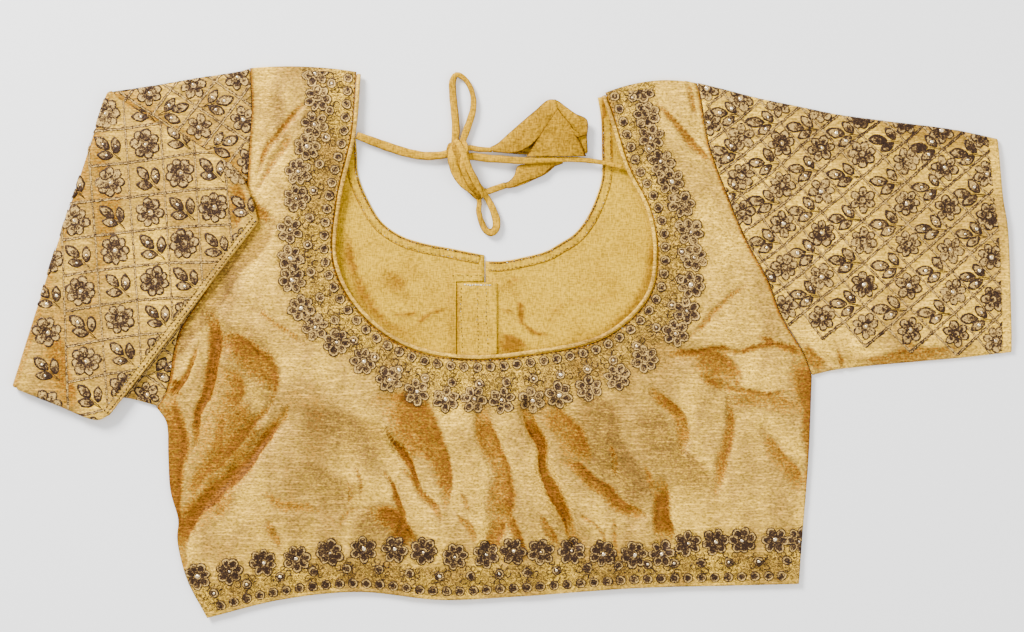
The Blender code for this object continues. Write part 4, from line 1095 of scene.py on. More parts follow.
def silk_finish(name, pale, middle, ochre, deep, grounded=False, turn=0.0, roughness=0.44, base=0.16):
    """Shot silk: pale where it faces up, ochre in its folds, grained, with slubs along the weft. The ochre in
    the folds is partly the silk's own shot colour and partly painted shade, and broad patches of painted
    shade dull it further.
    """
    made, tree, shader, place = finish_base(name, roughness, 0.12, 0.05)
    slub = noise(tree, place, SLUB_SCALE, (0.09, 1.2, 1.0), 1.0, turn=turn)
    weft = noise(tree, place, WEFT_SCALE, (0.8, 1.3, 1.0), 1.0, turn=turn + 0.5)
    grain = noise(tree, place, GRAIN_SCALE, detail=1.0)
    cloud = noise(tree, place, CLOUD_SCALE, (1.0, 0.55, 1.0), 4.0, 0.6, turn=turn)
    # Fold colour: partly the silk's shot colour, partly painted shade in folds, seams and along edges
    fold = maths(
        tree, "MULTIPLY", add_node(tree, "Attribute", attribute_name="colour_and_painted_shade").outputs["Fac"],
        FOLD_DEPTH,
    )
    shade = add_node(tree, "Attribute", attribute_name="fold_shade").outputs["Fac"]
    speck = maths(tree, "MULTIPLY", maths(tree, "SUBTRACT", grain, 0.5), SPECK_GAIN)
    rest = maths(tree, "SUBTRACT", 1.0, fold, clamp=True)
    edge = maths(tree, "ADD", maths(tree, "MULTIPLY", maths(tree, "MULTIPLY", fold, rest), 1.25), 0.15)
    drift = maths(tree, "MULTIPLY", maths(tree, "SUBTRACT", cloud, 0.5), DRIFT_GAIN)
    amount = maths(tree, "ADD", fold, maths(tree, "MULTIPLY", speck, edge))
    amount = maths(tree, "ADD", amount, maths(tree, "ADD", drift, base), clamp=True)
    tint = ramp(tree, amount, ((0.0, pale), (0.30, middle), (0.62, ochre), (1.0, deep)))
    weave = maths(tree, "ADD", maths(tree, "MULTIPLY", weft, 0.5), maths(tree, "MULTIPLY", grain, 0.5))
    tint = blend_colours(
        tree, 1.0, tint, ramp(tree, weave, ((0.37, grey(0.45)), (0.5, grey(1.0)), (0.61, grey(1.5)))),
        "MULTIPLY",
    )
    tint = blend_colours(
        tree, 1.0, tint, ramp(tree, slub, ((0.54, grey(0.95)), (0.63, grey(1.5)))), "MULTIPLY",
    )
    # Painted shade: broad dull patches darken the colour, less so inside deep folds
    clear = maths(tree, "SUBTRACT", 1.0, maths(tree, "MULTIPLY", fold, 0.9), clamp=True)
    shaded = maths(tree, "MULTIPLY", shade, maths(tree, "ADD", maths(tree, "MULTIPLY", speck, 0.6), 1.0))
    shaded = maths(tree, "MULTIPLY", shaded, clear, clamp=True)
    tint = blend_colours(tree, shaded, tint, blend_colours(tree, 1.0, tint, PAINTED_SHADE_TINT, "MULTIPLY"))
    height = maths(tree, "ADD", slub, weave)
    if grounded:
        worms = noise(tree, place, WORM_SCALE, detail=1.0, distortion=2.2)
        scroll = ramp(
            tree, worms, ((0.41, grey(0.0)), (0.45, grey(1.0)), (0.53, grey(1.0)), (0.57, grey(0.0))),
        )
        ground = add_node(tree, "Attribute", attribute_name="stitched_ground").outputs["Fac"]
        inked = maths(tree, "MULTIPLY", maths(tree, "MULTIPLY", scroll, ground), 0.85)
        tint = blend_colours(tree, inked, tint, WORM_BROWN)
        height = maths(tree, "ADD", height, maths(tree, "MULTIPLY", inked, 1.5))
    bump = add_node(tree, "Bump", {"Strength": 0.6, "Distance": 0.0005, "Height": height})
    tree.links.new(tint, shader.inputs["Base Color"])
    tree.links.new(bump.outputs[0], shader.inputs["Normal"])
    return made


def plain_cloth_finish(name, light, dark, turn=0.0, roughness=0.72):
    """Plain woven cotton: a fine square weave with worn and browned places at random, and painted shade where
    its marks ask for it.
    """
    made, tree, shader, place = finish_base(name, roughness, 0.0, 0.02)
    warp = noise(tree, place, 800.0, (0.35, 1.4, 1.0), 1.0, turn=turn)
    weft = noise(tree, place, 800.0, (1.4, 0.35, 1.0), 1.0, turn=turn)
    cloud = noise(tree, place, 34.0, detail=4.0, distortion=0.5)
    grain = noise(tree, place, 700.0, detail=1.0)
    # Painted shade carried in the marks: dark edges, gaps, bends and creases
    fold = add_node(tree, "Attribute", attribute_name="colour_and_painted_shade").outputs["Fac"]
    stain = maths(tree, "MULTIPLY", maths(tree, "SUBTRACT", cloud, 0.42), 1.2)
    speck = maths(tree, "MULTIPLY", maths(tree, "SUBTRACT", grain, 0.5), 0.8)
    amount = maths(tree, "ADD", maths(tree, "ADD", fold, stain), speck, clamp=True)
    tint = ramp(tree, amount, ((0.0, light), (0.9, dark)))
    weave = maths(tree, "MULTIPLY", maths(tree, "ADD", warp, weft), 0.5)
    tint = blend_colours(
        tree, 1.0, tint, ramp(tree, weave, ((0.38, grey(0.62)), (0.6, grey(1.25)))), "MULTIPLY",
    )
    bump = add_node(tree, "Bump", {"Strength": 0.5, "Distance": 0.0004, "Height": weave})
    tree.links.new(tint, shader.inputs["Base Color"])
    tree.links.new(bump.outputs[0], shader.inputs["Normal"])
    return made


def thread_finish(name, dark, middle, light, roughness=0.5, metallic=0.3):
    """Stitched metal thread, its tone set shape by shape, with fine strands."""
    made, tree, shader, place = finish_base(name, roughness, metallic, 0.15)
    strand = noise(tree, place, 950.0, (1.0, 1.6, 1.0), 2.0)
    fleck = noise(tree, place, 480.0, detail=1.0, distortion=1.2)
    shape = add_node(tree, "Attribute", attribute_name="thread_tone").outputs["Fac"]
    drift = maths(tree, "MULTIPLY", maths(tree, "SUBTRACT", maths(tree, "ADD", strand, fleck), 1.0), 2.3)
    tint = ramp(
        tree, maths(tree, "ADD", shape, drift, clamp=True), ((0.0, dark), (0.45, middle), (1.0, light)),
    )
    bump = add_node(tree, "Bump", {"Strength": 0.7, "Distance": 0.0004, "Height": strand})
    tree.links.new(tint, shader.inputs["Base Color"])
    tree.links.new(bump.outputs[0], shader.inputs["Normal"])
    return made


def sequin_finish(name):
    """Shiny sequins in two tints."""
    made, tree, shader, place = finish_base(name, 0.16, 0.75, 0.5)
    cloud = noise(tree, place, 260.0)
    tint = ramp(tree, cloud, ((0.35, (0.92, 0.78, 0.50, 1.0)), (0.65, (0.70, 0.50, 0.28, 1.0))))
    tree.links.new(tint, shader.inputs["Base Color"])
    return made


def skin(name, points, finish, wall=0.0, closed=False, marks=None):
    """A smooth cloth skin through a grid of points, with marks kept at its points."""
    marks = dict(marks or {})
    if closed:
        points = np.concatenate([points, points[:, :1]], axis=1)
        marks = {key: np.concatenate([m, m[:, :1]], axis=1) for key, m in marks.items()}
    rows, columns = points.shape[:2]
    form = bmesh.new()
    layers = [(form.verts.layers.float.new(key), m.reshape(-1)) for key, m in marks.items()]
    bmesh.ops.create_grid(form, x_segments=columns - 1, y_segments=rows - 1, size=0.5)
    for k, (vert, place) in enumerate(zip(form.verts, points.reshape(-1, 3) * MM)):
        vert.co = place
        for layer, values in layers:
            vert[layer] = values[k]
    bmesh.ops.remove_doubles(form, verts=form.verts, dist=1e-6)
    bmesh.ops.recalc_face_normals(form, faces=form.faces)
    if not closed and sum(face.normal.z for face in form.faces) < 0:
        bmesh.ops.reverse_faces(form, faces=form.faces)
    return shown(name, form, [finish], wall)


def shown(name, form, finishes, wall=0.0):
    """The mesh made a piece of the garment, smooth, on the body and with its wall."""
    mesh = bpy.data.meshes.new(name)
    form.to_mesh(mesh)
    form.free()
    for finish in finishes:
        mesh.materials.append(finish)
    mesh.shade_smooth()
    piece = bpy.data.objects.new(name, mesh)
    bpy.context.scene.collection.objects.link(piece)
    if wall:
        thick = piece.modifiers.new("wall", "SOLIDIFY")
        thick.thickness = wall * MM
        thick.offset = -1.0
    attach(piece, BODY)
    return piece


def tube_of(upper, lower):
    """Rings round two sheets that meet at their long edges, which are rounded."""
    middle, half = (upper + lower) / 2, (upper - lower) / 2
    run = np.concatenate(
        [np.zeros((len(upper), 1)), np.cumsum(np.linalg.norm(np.diff(upper, axis=1), axis=2), axis=1)],
        axis=1)
    edge = np.minimum(run, run[:, -1:] - run)
    round_off = np.sqrt(1.0 - (1.0 - np.clip(edge / EDGE_ROUND, 0.0, 1.0)) ** 2)[..., None]
    return np.concatenate([middle + half * round_off, (middle - half * round_off)[:, -2:0:-1]], axis=1)


def spread(steps):
    """Shares that lie closer together at both ends."""
    even = np.linspace(0.0, 1.0, steps + 1)
    return 0.6 * even + 0.4 * (1 - np.cos(np.pi * even)) / 2


def at_shares(points, shares):
    """Points of a smooth line at shares of its length."""
    return resample(smooth_line(points, 240), shares)


def make_back(finish):
    """Back panel, from its neck out to armholes, sides and hem."""
    shares = [NECK_STOPS[0]]
    outer = []
    lines = (LEFT_ARMHOLE, LEFT_SIDE, HEM, RIGHT_SIDE, RIGHT_ARMHOLE)
    for k, (line, rows) in enumerate(zip(lines, BACK_ROWS)):
        shares += list(np.linspace(NECK_STOPS[k], NECK_STOPS[k + 1], rows + 1)[1:])
        outer.append(smooth_line(line, rows)[(1 if k else 0):])
    neck = resample(moved(NECK_LINE, -(2 * PIPING_RADIUS + PIPING_GAP)), shares)
    xy = between(neck, np.vstack(outer), BACK_COLUMNS)
    arch = 4.0 * np.linspace(0.0, 1.0, BACK_COLUMNS + 1) * np.linspace(1.0, 0.0, BACK_COLUMNS + 1)
    for row in range(SHOULDER_FADE):
        fade = 1.0 - row / SHOULDER_FADE
        xy[row, :, 1] += SHOULDER_ARCH[0] * arch * fade
        xy[-1 - row, :, 1] += SHOULDER_ARCH[1] * arch * fade
    z, depth = back_top(xy)
    hem = line_distance(xy, HEM_LINE)
    z += HEM_ROLL * np.exp(-((hem - HEM_ROLL_WIDTH / 2) / HEM_ROLL_WIDTH) ** 2)
    neck_distance = line_distance(xy, NECK_LINE)
    ground = np.maximum(band(neck_distance, NECK_BAND), band(hem, HEM_BAND))
    for centre in NECK_FLOWERS + HEM_FLOWERS:
        near = np.linalg.norm(xy - np.array(centre), axis=-1)
        ground = np.maximum(ground, ease((FLOWER_REACH + 1.0 - near) / 2.0))
    for armhole in (LEFT_ARMHOLE, RIGHT_ARMHOLE):
        depth = np.maximum(
            depth, 1.1 * np.exp(-(line_distance(xy, smooth_line(armhole, 40)) / SEAM_SHADE) ** 2),
        )
    # Painted shadow in the groove between the neck roll and the panel
    depth = np.maximum(depth, 1.0 * np.exp(-((neck_distance - 3.2) / 0.8) ** 2))
    piece = skin("back_cloth", lifted(xy, z), finish, WALL_BACK, marks={
        "colour_and_painted_shade": depth, "fold_shade": creases(xy, BACK_SHADES)[1], "stitched_ground": ground,
    })
    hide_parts("back_panel")
    return piece


def band(distance, limits):
    """Share from 0 to 1 inside a band of distances, with soft sides."""
    return ease((distance - limits[0]) / 1.2) * ease((limits[1] - distance) / 2.0)


def make_fronts(finish):
    """The two front panels, which meet under the centre opening."""
    hem = moved(smooth_line(HEM, 200), FRONT_INSET)
    made = []
    for name, node, neck, armhole, flank, inset in (
        ("front_cloth_left", "front_panel_left", FRONT_NECK_LEFT, LEFT_ARMHOLE, LEFT_SIDE, FRONT_INSET),
        (
            "front_cloth_right", "front_panel_right", FRONT_NECK_RIGHT, RIGHT_ARMHOLE[::-1], RIGHT_SIDE[::-1],
            -FRONT_INSET,
        ),
    ):
        edge_x = neck[-1][0]
        foot = np.array([edge_x, np.interp(edge_x, hem[:, 0], hem[:, 1])])
        upper = smooth_line(neck, FRONT_NECK_ROWS)
        centre = resample([upper[-1], foot], np.linspace(0.0, 1.0, sum(FRONT_ROWS) - FRONT_NECK_ROWS + 1))[1:]
        inner = np.vstack([upper, centre])
        outer = np.vstack([
            moved(smooth_line(armhole, FRONT_ROWS[0]), inset),
            moved(smooth_line(flank, FRONT_ROWS[1]), inset)[1:],
        ])
        outer[0] = armhole[0] + np.array([inset, -FRONT_INSET])
        outer[-1] = flank[-1] + np.array([inset, FRONT_INSET])
        columns = np.linspace(0.0, 1.0, FRONT_COLUMNS + 1)
        low = np.abs(hem[:, 0] - edge_x) < abs(outer[-1][0] - edge_x)
        beyond = (hem[:, 0] - edge_x) * (outer[-1][0] - edge_x) > 0
        part = hem[low & beyond]
        part = part[np.argsort(np.abs(part[:, 0] - edge_x))]
        xy = patch(
            inner, outer, resample([inner[0], outer[0]], columns),
            resample(np.vstack([foot, part, outer[-1]]), columns),
        )
        z, depth = front_top(xy)
        piece = skin(name, lifted(xy, z), finish, WALL_FRONT - FLOOR_GAP, marks={"colour_and_painted_shade": depth})
        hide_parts(node)
        made.append(piece)
    return made


def make_right_sleeve(finish):
    """Right sleeve, laid flat."""
    armhole = moved(smooth_line(RIGHT_ARMHOLE, 200), -SEAM_GAP)[::-1]
    armhole[0] = SLEEVE_UPPER[0]
    armhole[-1] = SLEEVE_LOWER[0]
    across = spread(SLEEVE_ACROSS)
    along = np.linspace(0.0, 1.0, SLEEVE_ALONG + 1)
    xy = patch(
        at_shares(SLEEVE_UPPER, along), at_shares(SLEEVE_LOWER, along),
        resample(armhole, across), at_shares(SLEEVE_CUFF, across),
    )
    z, depth = sleeve_top(xy)
    rings = tube_of(lifted(xy, z), lifted(xy, FLOOR_GAP))
    plain = 0.0 * depth[:, -2:0:-1]
    piece = skin("sleeve_cloth_right", rings, finish, WALL_SLEEVE, True, {
        "colour_and_painted_shade": np.concatenate([depth, plain], axis=1),
        "fold_shade": np.concatenate([creases(xy, SLEEVE_SHADES)[1], plain], axis=1),
    })
    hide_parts("sleeve_right")
    return piece


def make_left_sleeve(finish):
    """The sleeve lies out to its fold line and then comes back over itself."""
    across = spread(SLEEVE_ACROSS)
    along = np.linspace(0.0, 1.0, TURNED_ALONG + 1)
    armhole = moved(smooth_line(LEFT_ARMHOLE, 200), -SEAM_GAP)
    armhole[0] = LOWER_UPPER[0]
    armhole[-1] = LOWER_LOWER[0]
    below = patch(
        at_shares(LOWER_UPPER, along), at_shares(LOWER_LOWER, along),
        resample(armhole, across), at_shares(FOLD_LINE, across),
    )
    above = patch(
        at_shares(TURNED_UPPER, along), at_shares(TURNED_LOWER, along),
        at_shares(FOLD_LINE, across), at_shares(TURNED_CUFF, across),
    )
    reach = (TURNED_UNDERSIDE + WALL_TURNED) / 2
    gap = TURNED_UNDERSIDE - WALL_TURNED
    inward = below[-4] - below[-1]
    inward /= np.linalg.norm(inward, axis=1)[:, None]
    clear = np.linalg.norm(below - below[-1:], axis=2).min(axis=1) > reach
    outer = [lifted(row, FLOOR_GAP) for row, far in zip(below, clear) if far]
    inner = [lifted(row, WALL_TURNED) for row, far in zip(below, clear) if far]
    depths = [inner_top(row)[1] for row, far in zip(below, clear) if far]
    centre = below[-1] + inward * reach
    for k in range(FOLD_STEPS + 1):
        angle = np.pi * k / FOLD_STEPS
        outer.append(
            lifted(centre - inward * reach * np.sin(angle), max(reach - reach * np.cos(angle), FLOOR_GAP))
        )
        inner.append(lifted(centre - inward * gap / 2 * np.sin(angle), reach - gap / 2 * np.cos(angle)))
        # The fold takes a little fold colour, partly shot colour and partly painted shade
        depths.append(np.full(len(centre), 0.3))
    for row in above:
        if np.linalg.norm(row - above[0], axis=1).min() > reach:
            z, depth = turned_top(row)
            outer.append(lifted(row, z))
            inner.append(lifted(row, TURNED_UNDERSIDE))
            depths.append(depth)
    rings = tube_of(np.array(outer), np.array(inner))
    depths = np.array(depths)
    piece = skin("sleeve_cloth_left", rings, finish, WALL_SLEEVE, True, {
        "colour_and_painted_shade": np.concatenate([depths, depths[:, -2:0:-1]], axis=1),
    })
    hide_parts("sleeve_left")
    return piece


def make_strips(finish):
    """Neck facings, and tape and flap of the centre opening, all on top of the fronts."""
    made = []
    for name, node, neck, side in (
        ("neck_facing_left", "front_neck_facing_left", FRONT_NECK_LEFT, -1.0),
        ("neck_facing_right", "front_neck_facing_right", FRONT_NECK_RIGHT, 1.0),
    ):
        line = resample(smooth_line(neck, 300), np.linspace(*FACING_ENDS, 120))
        xy = between(moved(line, side * FACING_START), moved(line, side * FACING_END), 8)
        shade = np.broadcast_to(FACING_SHADE, xy.shape[:-1])
        top = FACING_TOP - FACING_SLOPE * ease(np.linspace(0.0, 1.0, xy.shape[1]))
        made.append((skin(name, lifted(xy, top), finish, FACING_WALL, marks={"colour_and_painted_shade": shade}), node))
    shares = np.linspace(0.0, 1.0, 120)
    xy = between(
        resample([(FLAP_LEFT, FLAP_TOP), (FLAP_LEFT, STRIP_BOTTOM)], shares),
        resample([(FLAP_RIGHT, FLAP_TOP), (FLAP_RIGHT, STRIP_BOTTOM)], shares), 24,
    )
    # Painted shadow along the flap's free left edge
    depth = 0.6 * np.exp(-((xy[..., 0] - FLAP_LEFT) / 1.6) ** 2)
    flap = lifted(xy, STRIP_TOP + 0.12 * wander(xy, 14.0, 8))
    made.append((skin("flap_cloth", flap, finish, WALL_STRIP, marks={"colour_and_painted_shade": depth}), "placket_flap"))
    inner = np.array([
        (BAND_RIGHT, BAND_TOP), (BAND_RIGHT, BAND_FOOT), (TAPE_RIGHT, BAND_FOOT), (TAPE_RIGHT, STRIP_BOTTOM),
    ])
    outer = np.array([
        (BAND_LEFT, BAND_TOP), (TAPE_LEFT + BAND_CORNER, BAND_TOP), (TAPE_LEFT, BAND_TOP - BAND_CORNER),
        (TAPE_LEFT, STRIP_BOTTOM),
    ])
    xy = between(inner, outer, 8)
    # Painted shadow: the tape strip in the gap beside the flap is dark, its band at the top is not
    depth = np.where(xy[..., 1] < 43.0, 0.75, 0.1)
    made.append(
        (
            skin("tape_cloth", lifted(xy, STRIP_TOP), finish, WALL_STRIP, marks={"colour_and_painted_shade": depth}),
            "placket_tape",
        )
    )
    for piece, node in made:
        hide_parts(node)
    return [piece for piece, _ in made]


def make_ties(finish):
    """The left and right ties, each a single sewn band from neck edge through the bow to its tassel."""
    made = []
    for name, rows in (
        ("tie_string_left", TIE_LEFT + IN_KNOT_LEFT + LOOP_UPPER + IN_KNOT_TURN + TAIL_LOWER),
        ("tie_string_right", TIE_RIGHT[::-1] + IN_KNOT_RIGHT + LOOP_LOWER + IN_KNOT_BACK + TAIL_UPPER),
    ):
        route = smooth_line(rows, int(length_of(np.array(rows)[:, :3]) / 1.5))
        piece = ribbon(name, route, finish, high=0.62)
        made.append((piece, route))
    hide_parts("tie_left", "bow_loop_upper", "tie_tail_lower")
    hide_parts("tie_right", "bow_loop_lower", "tie_tail_upper")
    return made


def make_knot(finish):
    """The knot: a creased core with turns of the tie wrapped over it."""
    plan = np.array([row[0] for row in BOW_KNOT])
    sizes = np.array([row[1:] for row in BOW_KNOT])
    rows = smooth_line(np.column_stack([plan, sizes]), 46)
    along = np.gradient(rows[:, :2], axis=0)
    along /= np.linalg.norm(along, axis=1)[:, None]
    side = np.column_stack([-along[:, 1], along[:, 0]])
    turn = np.linspace(0, 2 * np.pi, 48, endpoint=False)
    run = np.linspace(0.0, 1.0, len(rows))[:, None]
    folds = KNOT_CORE * (
        1.0 + 0.10 * np.sin(4 * turn[None] + 9.0 * run) + 0.05 * np.sin(9 * turn[None] - 14.0 * run)
    )
    folds[0] = folds[-1] = 0.0
    xy = rows[:, None, :2] + side[:, None] * (np.cos(turn)[None] * rows[:, 2:3] * folds)[..., None]
    z = rows[:, 3:4] / 2 * (1 + np.sin(turn)[None] * folds)
    dark = np.full(folds.shape, 0.55)
    core = skin("knot_core", lifted(xy, z), finish, closed=True, marks={"colour_and_painted_shade": dark})
    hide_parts("bow_knot")
    wraps = []
    for name, flat, rows in KNOT_WRAPS:
        wraps.append(ribbon(name, smooth_line(rows, 50), finish, high=flat, ripple=0.06))
    return [core] + wraps


def make_flap(name, shade, first, last, finish):
    """A flat folded flap between two edges, columns x, y and height, with painted shade across it and along
    its folds.
    """
    shares = np.linspace(0.0, 1.0, 41)
    a = resample(smooth_line(first, FLAP_POINTS), shares)
    b = resample(smooth_line(last, FLAP_POINTS), shares)
    points = between(a, b, 20)
    across = np.linspace(0.0, 1.0, 21)[None]
    points[..., 2] += 0.35 * np.sin(np.pi * across) + 0.12 * wander(points[..., :2], 9.0, 31)
    width = np.linalg.norm(b[:, :2] - a[:, :2], axis=1)[:, None] * np.minimum(across, 1 - across)
    # Painted shade: darker toward the second edge by the flap's shade, and dark along both folded edges
    tone = shade * (0.4 + 0.6 * across) + 0.6 * np.exp(-(width / 0.55) ** 2)
    return skin(name, points, finish, FLAP_WALL, marks={"colour_and_painted_shade": tone})


def make_tassels(finish):
    """Each tassel is a square of cloth folded flat: rounded hidden layers with the folded flaps over them."""
    made = []
    turn = np.linspace(0, 2 * np.pi, 56, endpoint=False)
    for name, node, rows, flaps in (
        ("tassel_fan_upper", "tassel_upper", TASSEL_UPPER, UPPER_FLAPS),
        ("tassel_fan_lower", "tassel_lower", TASSEL_LOWER, LOWER_FLAPS),
    ):
        table = smooth_line([(*first, *last, thick) for first, last, thick in rows], 60)
        first, last, thick = table[:, None, 0:2], table[:, None, 2:4], table[:, 4:5] * CORE_SHARE
        across = np.sign(np.cos(turn))[None] * np.abs(np.cos(turn))[None] ** 0.7
        xy = (first + last) / 2 + across[..., None] * (last - first) / 2 * 0.97
        z = np.maximum(thick / 2 * (1 + np.sin(turn)[None]), 0.0) + 0.02
        points = lifted(xy, z)
        layers = 0.4 + 0.3 * np.sin(z * 5.0)
        points = np.concatenate([points[:1].mean(axis=1, keepdims=True) + 0 * points[:1], points,
                                 points[-1:].mean(axis=1, keepdims=True) + 0 * points[-1:]])
        layers = np.concatenate([layers[:1], layers, layers[-1:]])
        piece = skin(name, points, finish, closed=True, marks={"colour_and_painted_shade": layers})
        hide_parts(node)
        made.append([piece])
        for flap in flaps:
            made[-1].append(make_flap(*flap, finish))
    return made


def make_piping(finish):
    """Rolled edge round the back neck."""
    shares = np.linspace(0.003, 0.997, 520)
    line = resample(moved(NECK_LINE, -PIPING_RADIUS), shares)
    panel = back_top(resample(moved(NECK_LINE, -(2 * PIPING_RADIUS + PIPING_GAP)), shares))[0] - WALL_BACK
    route = np.column_stack([line, panel + PIPING_LIFT, np.full(len(line), PIPING_RADIUS)])
    piece = ribbon("neck_roll", route, finish, sides=14, high=1.0, ripple=0.04, power=0.85)
    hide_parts("neck_piping")
    return piece


def rounded_form(segments, rings, shape=None):
    """A small padded shape of radius 1: rings of radius, height and thread tone, with painted light that
    makes each ring lighter on one side.
    """
    form = bmesh.new()
    tone = form.verts.layers.float.new("thread_tone")
    bmesh.ops.create_circle(form, cap_ends=True, segments=segments, radius=1.0)
    form.faces.ensure_lookup_table()
    face = form.faces[0]
    if shape:
        for vert in form.verts:
            vert.co.x, vert.co.y = shape(vert.co.x, vert.co.y)
    start = [vert.co.xy.copy() for vert in face.verts]
    for vert in face.verts:
        vert.co.z = rings[0][1]
        vert[tone] = rings[0][2]
    for radius, height, shade in rings[1:]:
        bmesh.ops.inset_individual(form, faces=[face], thickness=0.001)
        for vert, rim in zip(face.verts, start):
            vert.co.xy = rim * radius
            vert.co.z = height
            # Painted light: each ring is lighter on the form's +x side and darker on its -x side, more so
            # toward the middle
            vert[tone] = shade * (1.0 + (1.0 - radius) * 1.2 * rim.x)
    middle = bmesh.ops.poke(form, faces=[face])["verts"][0]
    middle.co.z = rings[-1][1] + 0.08
    middle[tone] = rings[-1][2]
    return stored(form)


def stored(form):
    """Mesh of a stitched form, its faces turned up."""
    mesh = bpy.data.meshes.new("stitched_form")
    bmesh.ops.recalc_face_normals(form, faces=form.faces)
    if sum(face.normal.z for face in form.faces) < 0:
        bmesh.ops.reverse_faces(form, faces=form.faces)
    form.to_mesh(mesh)
    form.free()
    return mesh


def sequin_form():
    """Sequin, a small faceted disc."""
    form = bmesh.new()
    bmesh.ops.create_circle(form, cap_ends=True, segments=8, radius=1.0)
    form.faces.ensure_lookup_table()
    face = form.faces[0]
    bmesh.ops.inset_individual(form, faces=[face], thickness=0.3)
    for vert in face.verts:
        vert.co.z = 0.5
    for face in form.faces:
        face.material_index = 1
    return stored(form)


def chain_form():
    """One length of the double line of chain stitch that the lattice is drawn with."""
    form = bmesh.new()
    tone = form.verts.layers.float.new("thread_tone")
    bmesh.ops.create_grid(form, x_segments=14, y_segments=6, size=1.0)
    for vert in form.verts:
        across = abs(vert.co.y)
        swell = 1.0 + 0.12 * np.cos(vert.co.x * 7 * np.pi)
        line = np.exp(-((across - 0.6) / 0.34) ** 2)
        vert[tone] = 0.95 - 0.85 * line
        vert.co.z = 0.15 + 0.5 * line * swell if across < 0.95 else -0.1
        vert.co.y *= swell
    return stored(form)


def arc_form():
    """A thin curl of thread, most of a ring of radius 1."""
    form = bmesh.new()
    tone = form.verts.layers.float.new("thread_tone")
    bmesh.ops.create_grid(form, x_segments=14, y_segments=2, size=1.0)
    for vert in form.verts:
        angle = ARC_HALF * vert.co.x
        radius = 1.0 + ARC_WIDTH * vert.co.y
        vert.co.z = 0.5 if abs(vert.co.y) < 0.5 else -0.1
        vert[tone] = 0.0 if abs(vert.co.y) < 0.5 else 0.3
        vert.co.x, vert.co.y = radius * np.cos(angle), radius * np.sin(angle)
    return stored(form)


def dash_form():
    """One stitch of a row."""
    form = bmesh.new()
    form.verts.layers.float.new("thread_tone")
    bmesh.ops.create_icosphere(form, subdivisions=1, radius=1.0)
    return stored(form)


def almond(x, y):
    """Leaf outline, pointed at both ends."""
    return x, y * (1.0 - x * x) ** LEAF_POINT


def make_forms():
    """Meshes of the stitched forms, by name."""
    return {
        "petal": rounded_form(10, (
            (1.0, -0.25, 0.0), (0.92, 0.4, 0.0), (0.82, 0.5, 0.05), (0.76, 0.5, 1.0), (0.6, 0.4, 1.0),
            (0.5, 0.3, 0.0),
            (0.3, 0.35, 0.35), (0.15, 0.4, 0.0),
        )),
        "bloom": rounded_form(10, (
            (1.0, -0.25, 0.5), (0.9, 0.4, 0.0), (0.76, 0.5, 0.05), (0.6, 0.35, 0.95), (0.4, 0.4, 0.85),
            (0.2, 0.45, 0.45),
        )),
        "leaf": rounded_form(16, (
            (1.0, -0.25, 0.2), (0.92, 0.4, 0.0), (0.74, 0.5, 0.0), (0.58, 0.3, 0.95), (0.3, 0.4, 0.6),
        ), almond),
        "sequin": sequin_form(),
        "chain": chain_form(),
        "arc": arc_form(),
        "dash": dash_form(),
    }


def stamp(kind, centre, turn, long, wide, rise, tone):
    """One stitched form: its kind, place, turn, half sizes, rise and tone."""
    return kind, np.asarray(centre, float), turn, long, wide, rise, tone


def toward(angle):
    """Step of length 1 in a direction."""
    return np.array([np.cos(angle), np.sin(angle)])


def flower(centre, kind, pick, scale=1.0, petals=6, lit=0.8, tone=0.0):
    """Petals round a sequin, a little uneven in place and tone as hand work is."""
    centre = np.asarray(centre, float)
    first = pick.uniform(0.0, 2 * np.pi)
    parts = [stamp(kind, centre, 0.0, 3.0 * scale, 3.0 * scale, 0.6, tone)]
    for k in range(petals):
        angle = first + 2 * np.pi * k / petals + pick.uniform(-0.1, 0.1)
        place = centre + toward(angle) * PETAL_RING * scale * pick.uniform(0.92, 1.06)
        size = PETAL_RADIUS * scale * pick.uniform(0.86, 1.08)
        parts.append(
            stamp(
                kind, place, angle, size * 1.1, size * pick.uniform(0.85, 1.0), 0.8,
                tone + pick.uniform(-0.25, 0.2),
            )
        )
    if pick.uniform() < lit:
        size = pick.uniform(0.9, 1.7)
        parts.append(
            stamp("sequin", centre + pick.uniform(-0.5, 0.5, 2), pick.uniform(0, 3), size, size, 1.6, 1.0)
        )
    return parts


def sprig(centre, turn, tone, pick):
    """Three leaves along a short stem, most with a sequin."""
    centre = np.asarray(centre, float)
    joint = centre - toward(turn) * 1.6
    parts = [
        stamp("dash", joint - toward(turn) * 6.0, turn, 6.4, 0.4, 0.5, 0.25),
        stamp("dash", joint - toward(turn) * 8.4 + toward(turn + 1.57) * 0.9, turn + 0.2, 4.0, 0.3, 0.4, 0.3),
    ]
    for back, aside, swing, share in SPRIG_LEAVES:
        angle = turn + swing + pick.uniform(-0.1, 0.1)
        size = share * pick.uniform(0.92, 1.04)
        root = joint - toward(turn) * back + toward(turn + 1.57) * aside
        place = root + toward(angle) * LEAF_LENGTH / 2 * size
        shade = tone + pick.choice([0.1, 0.0, -0.12, -0.4])
        parts.append(stamp("leaf", place, angle, LEAF_LENGTH / 2 * size, LEAF_WIDTH / 2 * size, 0.8, shade))
        if pick.uniform() < SPRIG_LIT:
            dot = pick.uniform(1.0, 1.5)
            parts.append(stamp("sequin", place - toward(angle) * 0.8, 0.0, dot, dot, 1.5, 1.0))
    return parts


def chain(first, last, width, tone):
    """Chain stitch from one point to another."""
    first, last = np.asarray(first, float), np.asarray(last, float)
    span = last - first
    turn = np.arctan2(span[1], span[0])
    return stamp("chain", (first + last) / 2, turn, np.linalg.norm(span) / 2 + 0.3, width, 0.6, tone)


